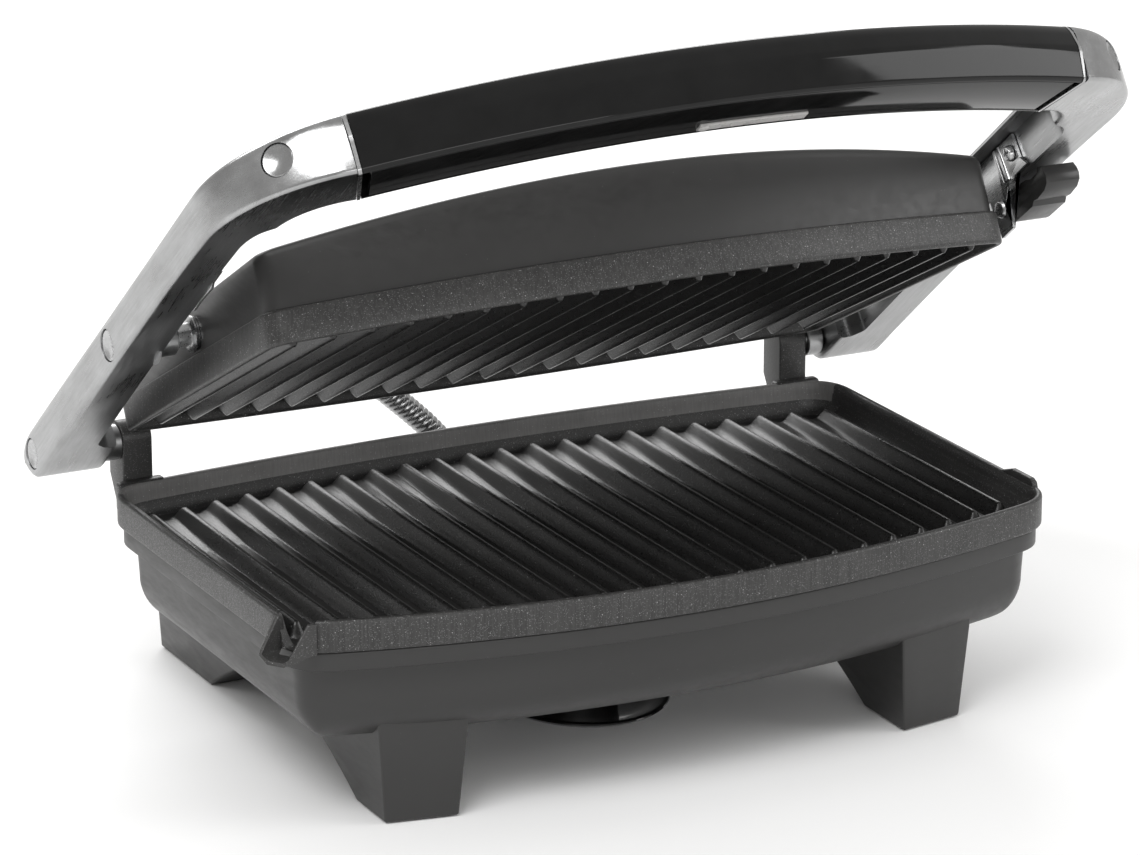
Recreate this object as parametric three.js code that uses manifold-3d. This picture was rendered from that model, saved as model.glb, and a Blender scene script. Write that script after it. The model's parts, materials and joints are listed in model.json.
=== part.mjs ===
// Contact grill (panini press) with a floating upper plate, held open.
// Millimetres, +Z up, the grip faces -Y, the floor is z = 0.
import * as THREE from 'three';
import { mergeVertices } from 'three/addons/utils/BufferGeometryUtils.js';
import Module from 'manifold-3d';

const wasm = await Module();
wasm.setup();

// ---- Driving dimensions ---------------------------------------------------
const FLOOR_DROP = 69;            // leg bottoms below the lower rib tops
const DEPTH_SHIFT = -77.815;       // moves the finished press onto the middle of its depth
const GAP = 0.3;                  // air left between neighbouring parts

const RIB_PITCH = 12.5;
const RIB_HEIGHT = 5.5;
const RIB_BASE = 7.2;
const RIB_TIP = 2.4;
const LOWER_RIBS = 22;
const UPPER_RIBS = 21;

const PLATE_HALF = 142;
const RIM_TOP = 6.4;
const SKIRT_BOTTOM = -4.6;
const RIM_WALL = 3;
const FLOOR_THICK = 3.2;
const BAND_BOTTOM = -11.5;
const TUB_BOTTOM = -40;
const SHELL = 2.6;

const HINGE_Y = 167;
const HINGE_Z = 19.5;
const ARM_ANGLE = 38.65 * Math.PI / 180;
const PIVOT_REACH = 92.06;        // hinge axis to head pivot, along the arm
const HEAD_TILT = 27 * Math.PI / 180;
const HEAD_PIVOT_BACK = 82.3;     // pivot ahead of the rear edge datum of the head
const HEAD_PIVOT_UP = 18.1;       // pivot above the cooking face of the head

const ARM_OUTER = 165;
const ARM_INNER = 140.6;
const CORNER_X = 115;             // centre of the arm's bend into the grip
const CORNER_S = 190.5;
const CORNER_R = 37.8;            // middle of the bend
const GRIP_END = 72 * Math.PI / 180;
const GRIP_BOW = 20;
const PIN_R = 4;
const WEB_X = 149;                // inner face of the arm's outer wall, behind its pocket
const FLANGE_N = 6.6;             // underside of the thin top flange over the pocket
const SCREW_S = 152;              // cover screw, along the arm
const SCREW_N = 0.8;
const LATCH_S = 135.5;            // latch pin, along the arm and below it
const LATCH_N = -12.6;
const REAR_HEEL = 196;            // rear face of the rear legs, where they meet the floor
const STEM_DROP = 15.7;           // wrap disc stem below the tub
const WRAP_X = -13;               // middle of the cord wrap disc
const WRAP_Y = 62;
const WRAP_HALF = 31;             // half its width; it is longer front to rear
const WRAP_STRETCH = 1.28;
const PAD_STAND = 0.4;            // foot pads stand this far below the legs

// Outline of each bowed plate: straight sides, curved front and rear.
const LOWER = { half: PLATE_HALF, front: -17.5, rear: 167.5, frontBow: 23, rearBow: 8.7, corner: 15 };
const UPPER = { half: 135.6, front: -167.8, rear: 4.1, frontBow: 21, rearBow: 7.9, corner: 13 };

// ---- Shape helpers --------------------------------------------------------
function solid(geometry) {
  const bare = new THREE.BufferGeometry();
  bare.setAttribute('position', geometry.attributes.position);
  if (geometry.index) bare.setIndex(geometry.index);
  const merged = mergeVertices(bare, 1e-4);
  const points = merged.attributes.position;
  const order = merged.index.array;
  let volume = 0;
  for (let i = 0; i < order.length; i += 3) {
    const [a, b, c] = [0, 1, 2].map(k => new THREE.Vector3().fromBufferAttribute(points, order[i + k]));
    volume += a.dot(b.cross(c));
  }
  if (volume < 0) order.reverse();
  return new wasm.Manifold(new wasm.Mesh({
    numProp: 3,
    vertProperties: Float32Array.from(merged.attributes.position.array),
    triVerts: Uint32Array.from(merged.index.array),
  }));
}

function joined(list) {
  return list.reduce((sum, item) => sum.add(item));
}

// A closed body through a row of rings with the same number of points.
function skin(rings) {
  const count = rings[0].length;
  const points = rings.flat();
  const middle = ring => [0, 1, 2].map(k => ring.reduce((t, p) => t + p[k], 0) / count);
  const first = points.length;
  points.push(middle(rings[0]), middle(rings[rings.length - 1]));
  const faces = [];
  for (let i = 0; i + 1 < rings.length; i++) {
    for (let j = 0; j < count; j++) {
      const a = i * count + j;
      const b = i * count + (j + 1) % count;
      faces.push(a, b, b + count, a, b + count, a + count);
    }
  }
  const last = (rings.length - 1) * count;
  for (let j = 0; j < count; j++) {
    faces.push(first, (j + 1) % count, j);
    faces.push(first + 1, last + j, last + (j + 1) % count);
  }
  const geometry = new THREE.BufferGeometry();
  geometry.setAttribute('position', new THREE.Float32BufferAttribute(points.flat(), 3));
  geometry.setIndex(faces);
  return solid(geometry);
}

function box(x0, x1, y0, y1, z0, z1) {
  const base = [[x0, y0], [x1, y0], [x1, y1], [x0, y1]];
  return skin([base.map(([x, y]) => [x, y, z0]), base.map(([x, y]) => [x, y, z1])]);
}

// A round bar between two points; radii may differ.
function bar(from, to, radius, endRadius = radius, sides = 16) {
  const start = new THREE.Vector3(...from);
  const axis = new THREE.Vector3(...to).sub(start).normalize();
  const side = new THREE.Vector3(0, 0, 1).cross(axis);
  if (side.length() < 0.1) side.set(1, 0, 0);
  side.normalize();
  const other = axis.clone().cross(side);
  const ring = (p, r) => Array.from({ length: sides }, (_, k) => {
    const t = 2 * Math.PI * k / sides;
    return [0, 1, 2].map(i => p[i]
      + r * Math.cos(t) * side.getComponent(i) + r * Math.sin(t) * other.getComponent(i));
  });
  return skin([ring(from, radius), ring(to, endRadius)]);
}

function tube(from, to, outer, inner, sides = 18) {
  const grow = (a, b) => a.map((v, i) => v + (v - b[i]) * 0.5);
  return bar(from, to, outer, outer, sides)
    .subtract(bar(grow(from, to), grow(to, from), inner, inner, sides));
}

// Plan outline of a bowed plate, moved in by inset, corners rounded.
function outline(plan, inset, steps = 8) {
  const half = plan.half - inset;
  const corner = Math.max(plan.corner - inset, 2);
  const front = x => plan.front + plan.frontBow * (x / plan.half) ** 2 + inset;
  const rear = x => plan.rear - plan.rearBow * (x / plan.half) ** 2 - inset;
  const bend = (a, b, c, t) => [0, 1].map(k =>
    (1 - t) ** 2 * a[k] + 2 * t * (1 - t) * b[k] + t * t * c[k]);
  const points = [];
  const edge = half - corner;
  for (let i = 0; i <= steps; i++) {
    const x = -edge + 2 * edge * i / steps;
    points.push([x, front(x)]);
  }
  for (let i = 1; i <= 4; i++) {
    points.push(bend([edge, front(edge)], [half, front(half)], [half, front(half) + corner], i / 4));
  }
  for (let i = 0; i <= 4; i++) {
    points.push(bend([half, rear(half) - corner], [half, rear(half)], [edge, rear(edge)], i / 4));
  }
  for (let i = 1; i <= steps; i++) {
    const x = edge - 2 * edge * i / steps;
    points.push([x, rear(x)]);
  }
  for (let i = 1; i <= 4; i++) {
    points.push(bend([-edge, rear(edge)], [-half, rear(half)], [-half, rear(half) - corner], i / 4));
  }
  for (let i = 0; i < 4; i++) {
    points.push(bend([-half, front(half) + corner], [-half, front(half)], [-edge, front(edge)], i / 4));
  }
  return points;
}

function slab(plan, inset, z0, z1, topInset = inset) {
  return skin([
    outline(plan, inset).map(([x, y]) => [x, y, z0]),
    outline(plan, topInset).map(([x, y]) => [x, y, z1]),
  ]);
}

// One rib running front to rear, its tip towards `tip`, ends sloped down.
function rib(x, y0, y1, base, tip) {
  const slope = 2.4;
  const ring = (y, share) => {
    const top = base + (tip - base) * share;
    const shoulder = base + (tip - base) * share * 0.86;
    const wide = RIB_BASE / 2;
    const narrow = RIB_TIP / 2;
    return [[-wide, base], [wide, base], [narrow, shoulder], [narrow * 0.45, top],
      [-narrow * 0.45, top], [-narrow, shoulder]].map(([dx, z]) => [x + dx, y, z]);
  };
  return skin([ring(y0, 0.35), ring(y0 + slope, 1), ring(y1 - slope, 1), ring(y1, 0.35)]);
}

// A swept tube with closed ends, for the elements and the conduit.
function sweep(path, radius, sides, steps) {
  const curve = new THREE.CatmullRomCurve3(path.map(p => new THREE.Vector3(...p)), false, 'centripetal');
  const ring = [];
  for (let k = 0; k < sides; k++) {
    const t = 2 * Math.PI * k / sides;
    ring.push(new THREE.Vector2(radius * Math.cos(t), radius * Math.sin(t)));
  }
  const shape = new THREE.Shape(ring);
  return solid(new THREE.ExtrudeGeometry(shape, { steps, extrudePath: curve, bevelEnabled: false }));
}

// Head coordinates: level, datum at the rear edge of its cooking face.
function headPlace() {
  const place = new THREE.Matrix4().makeTranslation(0, HEAD_PIVOT_BACK, -HEAD_PIVOT_UP);
  place.premultiply(new THREE.Matrix4().makeRotationX(-HEAD_TILT));
  const [x, y, z] = armPoint(1, 0, PIVOT_REACH, 0);
  return place.premultiply(new THREE.Matrix4().makeTranslation(x, y, z));
}

function placeHead(body) {
  return body.transform(headPlace().elements);
}

function headPoint(x, y, z) {
  return new THREE.Vector3(x, y, z).applyMatrix4(headPlace()).toArray();
}

// Arm coordinates: across x, s along the arm from the hinge, n out of its top.
function armPoint(side, x, s, n) {
  const cos = Math.cos(ARM_ANGLE);
  const sin = Math.sin(ARM_ANGLE);
  return [side * x, HINGE_Y - s * cos + n * sin, HINGE_Z + s * sin + n * cos];
}

function armPrism(side, plan, low, high) {
  return skin([low, high].map(n => plan.map(([x, s]) => armPoint(side, x, s, n))));
}

function roundCorners(half, low, high, radius) {
  const points = [];
  const corners = [[half, high, 0], [-half, high, 1], [-half, low, 2], [half, low, 3]];
  for (const [c, n, quarter] of corners) {
    for (let k = 0; k <= 2; k++) {
      const t = (quarter + k / 2) * Math.PI / 2;
      const cx = c - Math.sign(c) * radius;
      const cn = n - (n === high ? radius : -radius);
      points.push([cx + radius * Math.cos(t), cn + radius * Math.sin(t)]);
    }
  }
  return points;
}

// ---- Base -----------------------------------------------------------------
const parts = [];
function add(name, body, look) {
  parts.push({ name, body, look });
}

function hingeTab(side) {
  const x0 = 122.8;
  const x1 = 133.8;
  const profile = [[162.3, RIM_TOP - 8]];
  for (let k = 0; k <= 6; k++) {
    const t = Math.PI - Math.PI * k / 6;
    profile.push([168.6 + 6.3 * Math.cos(t), 20 + 6.3 * Math.sin(t)]);
  }
  profile.push([174.9, RIM_TOP], [168.5, SKIRT_BOTTOM], [158, SKIRT_BOTTOM]);
  const tab = skin([x0, x1].map(x => profile.map(([y, z]) => [side * x, y, z])));
  const root = box(Math.min(side * x0, side * x1) - 3, Math.max(side * x0, side * x1) + 3,
    158.2, 166, SKIRT_BOTTOM, RIM_TOP + 0.6);
  const hole = bar([side * 110, HINGE_Y, HINGE_Z], [side * 140, HINGE_Y, HINGE_Z], PIN_R + GAP);
  return { tab: tab.add(root), hole };
}

// Grease spout at the front left corner: a notch in the rim with a flared lip outside it.
function spout() {
  const mouth = [[-142, 15.5, RIM_TOP], [-150.3, 10.8, -4.2], [-149.3, 6.4, -6.4], [-145.8, 1.2, -6.4],
    [-143.9, 1, -4.2], [-136.5, 1.8, RIM_TOP]];
  const root = [[-141.4, 18.5, RIM_TOP], [-141.4, 17, SKIRT_BOTTOM], [-138.6, 9, SKIRT_BOTTOM],
    [-133.5, 2.6, SKIRT_BOTTOM], [-133.5, 2.6, RIM_TOP], [-138, 12, 0]];
  const inside = [[-135.6, 17, RIM_TOP + 2], [-135.6, 16, -5.3], [-130, 6.6, RIM_TOP + 2], [-131, 7.4, -5.3]];
  const outside = [[-143.2, 13.8, RIM_TOP + 2], [-151.8, 9, -3.8], [-151, 5.4, -5.2], [-147.6, 1.2, -5.2],
    [-146, 0.6, -3.8], [-139.4, 1, RIM_TOP + 2]];
  return {
    lip: wasm.Manifold.hull([...mouth, ...root]),
    cut: wasm.Manifold.hull([...inside, ...outside]),
  };
}

// Catch for the latch on the right: a raised stretch of rim with a lug outside it.
function latchCatch() {
  const across = (x0, x1, profile) => skin([x0, x1].map(x => profile.map(([y, z]) => [x, y, z])));
  return across(139.7, PLATE_HALF - 0.1, [[37.6, RIM_TOP - 1], [37.6, RIM_TOP], [30.6, 8.7], [19, 8.7],
    [17, 7.8], [16, RIM_TOP - 1]])
    .add(across(PLATE_HALF - 0.5, 146, [[33, 1.8], [33, 6.2], [23, 6.2], [21.8, 5.2], [22.4, 3.6]]));
}

function lowerPlate() {
  const floorTop = -RIB_HEIGHT;
  let body = slab(LOWER, 1.2, SKIRT_BOTTOM, SKIRT_BOTTOM + 3, 0)
    .add(slab(LOWER, 0, SKIRT_BOTTOM + 2.9, RIM_TOP - 0.8))
    .add(slab(LOWER, 0, RIM_TOP - 0.9, RIM_TOP, 0.8));
  body = body.add(slab(LOWER, 5.3, floorTop - FLOOR_THICK, SKIRT_BOTTOM + 0.5));
  const tabs = [-1, 1].map(hingeTab);
  const grease = spout();
  for (const t of tabs) body = body.add(t.tab);
  body = body.add(grease.lip);
  const wall = [[7.2, floorTop], [4.6, floorTop + 2.4], [3, RIM_TOP - 1], [2.6, RIM_TOP + 1]];
  body = body.subtract(skin(wall.map(([inset, z]) => outline(LOWER, inset).map(([x, y]) => [x, y, z]))));
  body = body.subtract(grease.cut).add(latchCatch());
  for (const t of tabs) body = body.subtract(t.hole);
  const ribs = [];
  for (let i = 1; i <= LOWER_RIBS; i++) {
    const x = (i - (LOWER_RIBS + 1) / 2) * RIB_PITCH;
    const u = x / 100;
    ribs.push(rib(x, 11.52 * u * u + 0.474 * u ** 4, 158 - 7.585 * u * u + 0.224 * u ** 4,
      floorTop - 0.4, 0));
  }
  return body.add(joined(ribs));
}

// Rail profile at each side: front leg, arch, rear leg with a rear heel.
function railProfile(inset) {
  const foot = -FLOOR_DROP + PAD_STAND + inset * 1.4;
  const points = [[3 + inset, -14], [6.5 + inset, foot], [31 - inset, foot]];
  const archMiddle = 91.5;
  const archHalf = 60.5 + inset;
  const archTop = -45.5 + inset;
  const rise = archTop - foot;
  for (let k = 1; k < 10; k++) {
    const y = -archHalf + 2 * archHalf * k / 10;
    points.push([archMiddle + y, archTop - rise * Math.pow(Math.abs(y) / archHalf, 1.7)]);
  }
  points.push([152 + inset, foot], [REAR_HEEL - inset, foot]);
  points.push([195 - inset, -44], [191 - inset, -33], [182 - inset, -24], [168 - inset, -18],
    [158 - inset, -14]);
  return points;
}

function rail(side, inset) {
  const profile = railProfile(inset);
  const shape = new THREE.Shape(profile.map(([y, z]) => new THREE.Vector2(y, z)));
  const wide = 33 - 2 * inset;
  const flat = new THREE.ExtrudeGeometry(shape, { depth: wide, bevelEnabled: false });
  const position = flat.attributes.position;
  for (let i = 0; i < position.count; i++) {
    const y = position.getX(i);
    const z = position.getY(i);
    const across = position.getZ(i) / wide - 0.5;
    const narrow = 33 - 8.6 * Math.min(Math.max((-14 - z) / (FLOOR_DROP - 14), 0), 1) - 2 * inset;
    const x = side * (95.6 + across * narrow);
    const bow = y < 20 ? (x * side - 95.6) * 0.18 : 0;
    position.setXYZ(i, x, y + bow, z);
  }
  return solid(flat);
}

function tubRings(inset, lift) {
  const levels = [[6.4, BAND_BOTTOM + 1.5], [7, -22]];
  const bend = 17;
  const turns = inset ? 3 : 5;
  for (let k = 1; k <= turns; k++) {
    const t = k / turns * Math.PI / 2;
    levels.push([7 + bend * (1 - Math.cos(t)), TUB_BOTTOM + bend * (1 - Math.sin(t))]);
  }
  return levels.map(([move, z]) => outline(LOWER, move + inset).map(([x, y]) => [x, y, z + lift]));
}

function lowerHousing() {
  const top = SKIRT_BOTTOM - GAP;
  let body = slab(LOWER, 2, BAND_BOTTOM, top).add(skin(tubRings(0, 0)));
  for (const side of [-1, 1]) body = body.add(rail(side, 0));
  const hollow = slab(LOWER, 4.8, BAND_BOTTOM + 2, top + 1)
    .add(skin(tubRings(SHELL, SHELL).map((ring, i) => i ? ring : ring.map(p => [p[0], p[1], -9]))));
  body = body.subtract(hollow);
  for (const side of [-1, 1]) {
    const core = rail(side, SHELL);
    body = body.subtract(core.subtract(box(-200, 200, 153, 260, -31, 40)).subtract(
      box(-200, 200, -60, 9.5, -31, 40)));
  }
  // bosses for the cover screws and for the wrap disc
  const stem = tube([WRAP_X, WRAP_Y, TUB_BOTTOM - STEM_DROP], [WRAP_X, WRAP_Y, TUB_BOTTOM + 0.6], 15, 3, 24);
  body = body.add(stem);
  const floorIn = TUB_BOTTOM + SHELL;
  for (const [x, y] of [[-60, 30], [60, 30], [-60, 125], [60, 125]]) {
    body = body.add(tube([x, y, floorIn - 1], [x, y, floorIn + 9], 4.5, 2.2, 16));
  }
  // holes for the cord inlet and the conduit gland in the rear wall
  body = body.subtract(bar([70, 146, -26], [70, 175, -26], 7 + GAP));
  body = body.subtract(bar([5, 150, -22], [5, 175, -22], 6.4 + GAP));
  for (const [x, y] of footSpots()) {
    body = body.subtract(bar([x, y, -FLOOR_DROP - 1], [x, y, -FLOOR_DROP + 1.9], 7 + GAP));
  }
  return body;
}

function footSpots() {
  return [[-95.6, 18], [95.6, 18], [-95.6, 176], [95.6, 176]];
}

function footPad(x, y) {
  return bar([x, y, -FLOOR_DROP + 1.6], [x, y, -FLOOR_DROP], 7, 6.6);
}

const WRAP_BOTTOM = TUB_BOTTOM - STEM_DROP - GAP - SHELL;

function wrapDisc() {
  const rim = WRAP_HALF;
  const profile = [[0, 0], [14, 0], [rim - 6, 0.9], [rim - 1, 2.6], [rim, 3.6], [rim - 1.4, 4.2],
    [rim - 7, 3.1], [12, SHELL], [0, SHELL]].map(([r, z]) => new THREE.Vector2(r, z));
  const lathe = solid(new THREE.LatheGeometry(profile, 36)).rotate([90, 0, 0]);
  const screwHole = bar([0, 0, -3], [0, 0, 6], 3);
  return lathe.scale([1, WRAP_STRETCH, 1]).subtract(screwHole).translate([WRAP_X, WRAP_Y, WRAP_BOTTOM]);
}

function wrapScrew() {
  const at = z => [WRAP_X, WRAP_Y, WRAP_BOTTOM + z];
  return bar(at(-1.7), at(-GAP), 5).add(bar(at(-0.4), at(8.9), 2.6));
}

function element(z, back, front, half) {
  const path = [[-26, back, z], [-26, back - 30, z], [-half + 20, back - 30, z]];
  const turn = (x, y) => path.push([x, y, z]);
  turn(-half, back - 50);
  turn(-half, front + 20);
  turn(-half + 20, front);
  turn(half - 20, front);
  turn(half, front + 20);
  turn(half, back - 50);
  turn(half - 20, back - 30);
  turn(26, back - 30);
  turn(26, back);
  return sweep(path, 3.2, 6, 44);
}

function reflector(plan, inset, z) {
  return slab(plan, inset, z, z + 1);
}

// ---- Arms and grip --------------------------------------------------------
function armStations() {
  const rows = [[-8.2, -1.4, 1.8], [-7, -4.6, 4.8], [-4, -7.4, 7.2], [0, -8, 8.2], [14, -7.6, 8.4],
    [50, -7, 8.4], [92, -6.7, 8.2], [150, -6.8, 8.2], [CORNER_S, -8, 8.5]];
  const list = rows.map(([s, low, high]) => ({ x: (ARM_OUTER + ARM_INNER) / 2, s, turn: 0, low, high }));
  for (let k = 1; k <= 8; k++) {
    const t = GRIP_END * k / 8;
    list.push({ x: CORNER_X + CORNER_R * Math.cos(t), s: CORNER_S + CORNER_R * Math.sin(t), turn: t,
      low: -8 - 3.4 * k / 8, high: 8.5 + 0.7 * k / 8 });
  }
  return list;
}

function armBody(side) {
  const half = (ARM_OUTER - ARM_INNER) / 2;
  const rings = armStations().map(({ x, s, turn, low, high }) => {
    const radius = Math.min(3.6, (high - low) * 0.4);
    return roundCorners(half, low, high, radius).map(([c, n]) =>
      armPoint(side, x + c * Math.cos(turn), s + c * Math.sin(turn), n));
  });
  return skin(rings);
}

// Pocket in each arm, open to the inside and below, with an arched end near the grip.
function armPocket(side) {
  const plan = [[136, 16], [WEB_X - 4, 16], [WEB_X, 20], [WEB_X, 180], [148.4, 184.5],
    [147.2, 188], [145.2, 191], [142, 193.6], [136, 196]];
  return armPrism(side, plan, -16, FLANGE_N);
}

function arm(side) {
  let body = armBody(side).subtract(armPocket(side));
  body = body.add(bar(armPoint(side, 142, PIVOT_REACH, 0), armPoint(side, 150, PIVOT_REACH, 0), 6.2));
  for (const s of [0, PIVOT_REACH]) {
    body = body.subtract(bar(armPoint(side, 130, s, 0), armPoint(side, 161, s, 0), PIN_R + GAP));
    body = body.subtract(bar(armPoint(side, 162.6, s, 0), armPoint(side, 168, s, 0), 5.5, 5.9, 24));
  }
  const [from, to] = cornerAxis(side, 2.4);
  body = body.subtract(bar(from, to, 5.5, 5.9, 24));
  return body.subtract(bar(armPoint(side, 145, SCREW_S, SCREW_N),
    armPoint(side, 153, SCREW_S, SCREW_N), 1.9, 1.9, 14));
}

// Direction of the dished cap on the outside of the bend.
function cornerAxis(side, depth) {
  const turn = 46 * Math.PI / 180;
  const at = radius => armPoint(side, CORNER_X + radius * Math.cos(turn),
    CORNER_S + radius * Math.sin(turn), 0.6);
  return [at(50 - depth), at(53)];
}

function dishCap(side, s) {
  return bar(armPoint(side, 162.9, s, 0), armPoint(side, 163.9, s, 0), 5.1, 5.2, 24)
    .subtract(bar(armPoint(side, 163.5, s, 0), armPoint(side, 165, s, 0), 3.8, 4.6, 24));
}

// A flat prism standing across the arm: its outline is in (s, n), its thickness along x.
function sidePrism(side, outlinePoints, x0, x1) {
  return skin([x0, x1].map(x => outlinePoints.map(([s, n]) => armPoint(side, x, s, n))));
}

// Ridged sheet cover inside the pocket; the right one has a leg that carries the latch.
function armCover(side) {
  const back = WEB_X - GAP;
  const face = back - 1.1;
  const leg = side > 0 ? [[138, -8.4], [138, -21], [129.5, -21]] : [[138, -6.8], [129.5, -6.8]];
  const plan = [[129.5, 6.2], [156, 6.2], [156, -2.6], [159.2, -6.4], [150.4, -6.4],
    [148.6, -7.4], ...leg];
  let body = sidePrism(side, plan, face, back);
  for (const s of [142.2, 145]) {
    body = body.add(sidePrism(side, [[s, 5.8], [s + 1.3, 5.8], [s + 1.3, -6.2], [s, -6.2]],
      face - 0.9, face + 0.1));
  }
  const holes = side > 0 ? [[SCREW_S, SCREW_N, 1.9], [LATCH_S, LATCH_N, 2.3]] : [[SCREW_S, SCREW_N, 1.9]];
  for (const [s, n, radius] of holes) {
    body = body.subtract(bar(armPoint(side, 145, s, n), armPoint(side, 150, s, n), radius, radius, 14));
  }
  return body;
}

function coverScrew(side) {
  const at = x => armPoint(side, x, SCREW_S, SCREW_N);
  let body = bar(at(147.3), at(145.6), 2.9, 2.3, 18);
  const slot = (ds, dn) => sidePrism(side, [[SCREW_S - ds, SCREW_N - dn], [SCREW_S + ds, SCREW_N - dn],
    [SCREW_S + ds, SCREW_N + dn], [SCREW_S - ds, SCREW_N + dn]], 145, 146.3);
  body = body.subtract(slot(1.7, 0.35)).subtract(slot(0.35, 1.7));
  return body.add(bar(at(147.2), at(152), 1.5, 1.5, 14));
}

// Grip: an arc from arm to arm, bowed away from the hinge.
function gripStations(from, to, count) {
  const endX = CORNER_X + CORNER_R * Math.cos(GRIP_END);
  const endS = CORNER_S + CORNER_R * Math.sin(GRIP_END);
  const bow = GRIP_BOW;
  const radius = (endX * endX + bow * bow) / (2 * bow);
  const span = Math.asin(endX / radius);
  return Array.from({ length: count + 1 }, (_, i) => {
    const share = from + (to - from) * i / count;
    const t = span * share;
    return { x: radius * Math.sin(t), s: endS + bow - radius * (1 - Math.cos(t)), turn: t };
  });
}

function gripSkin(from, to, count, section) {
  return skin(gripStations(from, to, count).map(({ x, s, turn }) => section.map(([c, n]) =>
    armPoint(1, x + c * Math.sin(turn), s + c * Math.cos(turn), n))));
}

const GRIP_SECTION = [[-12.2, -11.2], [9.4, -11.4], [10.6, -10.6], [12.6, -1.6], [12.7, 0.2],
  [11.6, 6], [10.2, 8.6], [7.6, 9.4], [-9, 9.3], [-11.6, 8.2], [-12.6, 5.6], [-12.8, -10]];

function gripShell() {
  const outer = gripSkin(-0.986, 0.986, 22, GRIP_SECTION);
  const inner = gripSkin(-0.95, 0.95, 12, [[-10, -13], [8, -13], [8, 6.4], [-10, 6.4]]);
  const step = gripSkin(-0.97, 0.97, 12, [[-11.2, -13], [8.8, -13], [8.8, -9], [-11.2, -9]]);
  return outer.subtract(inner).subtract(step);
}

function gripBase() {
  return gripSkin(-0.966, 0.966, 12, [[-10.9, -11.2], [8.5, -11.3], [8.5, -9.3], [-10.9, -9.3]])
    .add(gripSkin(-0.94, 0.94, 12, [[-9.4, -9.5], [-7.4, -9.5], [-7.4, -2], [-9.4, -2]]))
    .add(gripSkin(-0.94, 0.94, 12, [[5.4, -9.5], [7.4, -9.5], [7.4, -2], [5.4, -2]]))
    .subtract(gripSkin(-0.12, 0.2, 8, [[-9.8, -12], [-5.2, -12], [-5.2, -10.4], [-9.8, -10.4]]));
}

function gripInlay() {
  return gripSkin(-0.112, 0.192, 8, [[-9.5, -11.9], [-5.5, -11.9], [-5.5, -10.7], [-9.5, -10.7]])
    .add(gripSkin(-0.108, -0.085, 2, [[-9.2, -12.5], [-5.8, -12.5], [-5.8, -11], [-9.2, -11]]));
}

function gripCollar(side) {
  const list = gripStations(side * 0.9885, side * 0.9975, 1);
  const section = GRIP_SECTION.map(([c, n]) => [c * 1.01, n * 1.01]);
  return skin(list.map(({ x, s, turn }) => section.map(([c, n]) =>
    armPoint(1, x + c * Math.sin(turn), s + c * Math.cos(turn), n))));
}

function gripTie() {
  return gripSkin(-0.948, 0.948, 12, [[-4.6, -5.4], [2.6, -5.4], [2.6, 4.6], [-4.6, 4.6]]);
}

function hingePin(side) {
  return bar([side * 123.4, HINGE_Y, HINGE_Z], [side * 160.6, HINGE_Y, HINGE_Z], PIN_R);
}

function hingeBush(side) {
  return tube([side * 134.2, HINGE_Y, HINGE_Z], [side * 140.2, HINGE_Y, HINGE_Z], 6.2, PIN_R + GAP);
}

// ---- Head -----------------------------------------------------------------
function upperPlate() {
  const floor = RIB_HEIGHT;
  let body = slab(UPPER, 0.6, 0, 1.2, 0).add(slab(UPPER, 0, 1.1, 11.2));
  body = body.subtract(slab(UPPER, 2.6, -1, floor + 0.01, 4.4));
  body = body.subtract(slab(UPPER, 4, floor + 3, 13));
  const ribs = [];
  for (let i = 1; i <= UPPER_RIBS; i++) {
    const x = (i - (UPPER_RIBS + 1) / 2) * RIB_PITCH;
    const u = x / 100;
    ribs.push(rib(x, -158.8 + 10.8 * u * u, -4.5 - 4.2 * u * u, floor + 0.4, 0.2));
  }
  body = body.add(joined(ribs));
  for (const side of [-1, 1]) {
    // ear that takes the pivot pin
    const ear = box(Math.min(side * 125.6, side * 129.9), Math.max(side * 125.6, side * 129.9),
      -HEAD_PIVOT_BACK - 6.2, -HEAD_PIVOT_BACK + 6.2, floor + 1, HEAD_PIVOT_UP)
      .add(bar([side * 125.6, -HEAD_PIVOT_BACK, HEAD_PIVOT_UP],
        [side * 129.9, -HEAD_PIVOT_BACK, HEAD_PIVOT_UP], 6.2));
    body = body.add(ear).subtract(bar([side * 120, -HEAD_PIVOT_BACK, HEAD_PIVOT_UP],
      [side * 140, -HEAD_PIVOT_BACK, HEAD_PIVOT_UP], PIN_R + GAP));
  }
  return body;
}

function domeHeight(x, y) {
  const ahead = Math.min(Math.max(-y / 165, 0), 1);
  const crown = 8.2 * (1 - (x / 133) ** 2);
  return 24 + (7.6 + crown) * Math.pow(ahead, 0.8) + crown * 0.25 * (1 - ahead);
}

function domeRings(inset, drop) {
  const middleY = -82;
  const foot = outline(UPPER, 1.8 + inset);
  const scales = drop ? [[1, 0], [0.994, 0.9], [0.96, 1], [0.5, 1]]
    : [[1, 0], [0.997, 0.87], [0.988, 0.96], [0.965, 1], [0.75, 1], [0.5, 1], [0.25, 1]];
  return scales.map(([k, share], i) => foot.map(([x, y]) => {
    const px = x * k;
    const py = middleY + (y - middleY) * k;
    const top = domeHeight(px, py) - drop;
    return [px, py, i ? 11.5 + (top - 11.5) * share : 11.5 - (drop ? 1 : 0)];
  }));
}

function upperHousing() {
  let body = skin(domeRings(0, 0)).subtract(skin(domeRings(SHELL, SHELL)));
  for (const side of [-1, 1]) {
    body = body.subtract(bar([side * 120, -HEAD_PIVOT_BACK, HEAD_PIVOT_UP],
      [side * 140, -HEAD_PIVOT_BACK, HEAD_PIVOT_UP], 5));
    body = body.subtract(bar([side * 22, -138, 25], [side * 22, -138, 60], 3.3));
  }
  for (const [x, y] of [[-80, -30], [80, -30], [-80, -120], [80, -120]]) {
    body = body.add(tube([x, y, 19.5], [x, y, domeHeight(x, y) - 1.2], 4.2, 2, 12));
  }
  return body.subtract(bar([-42, -12, 18.5], [-42, 10, 18.5], 6.4 + GAP));
}

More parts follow.
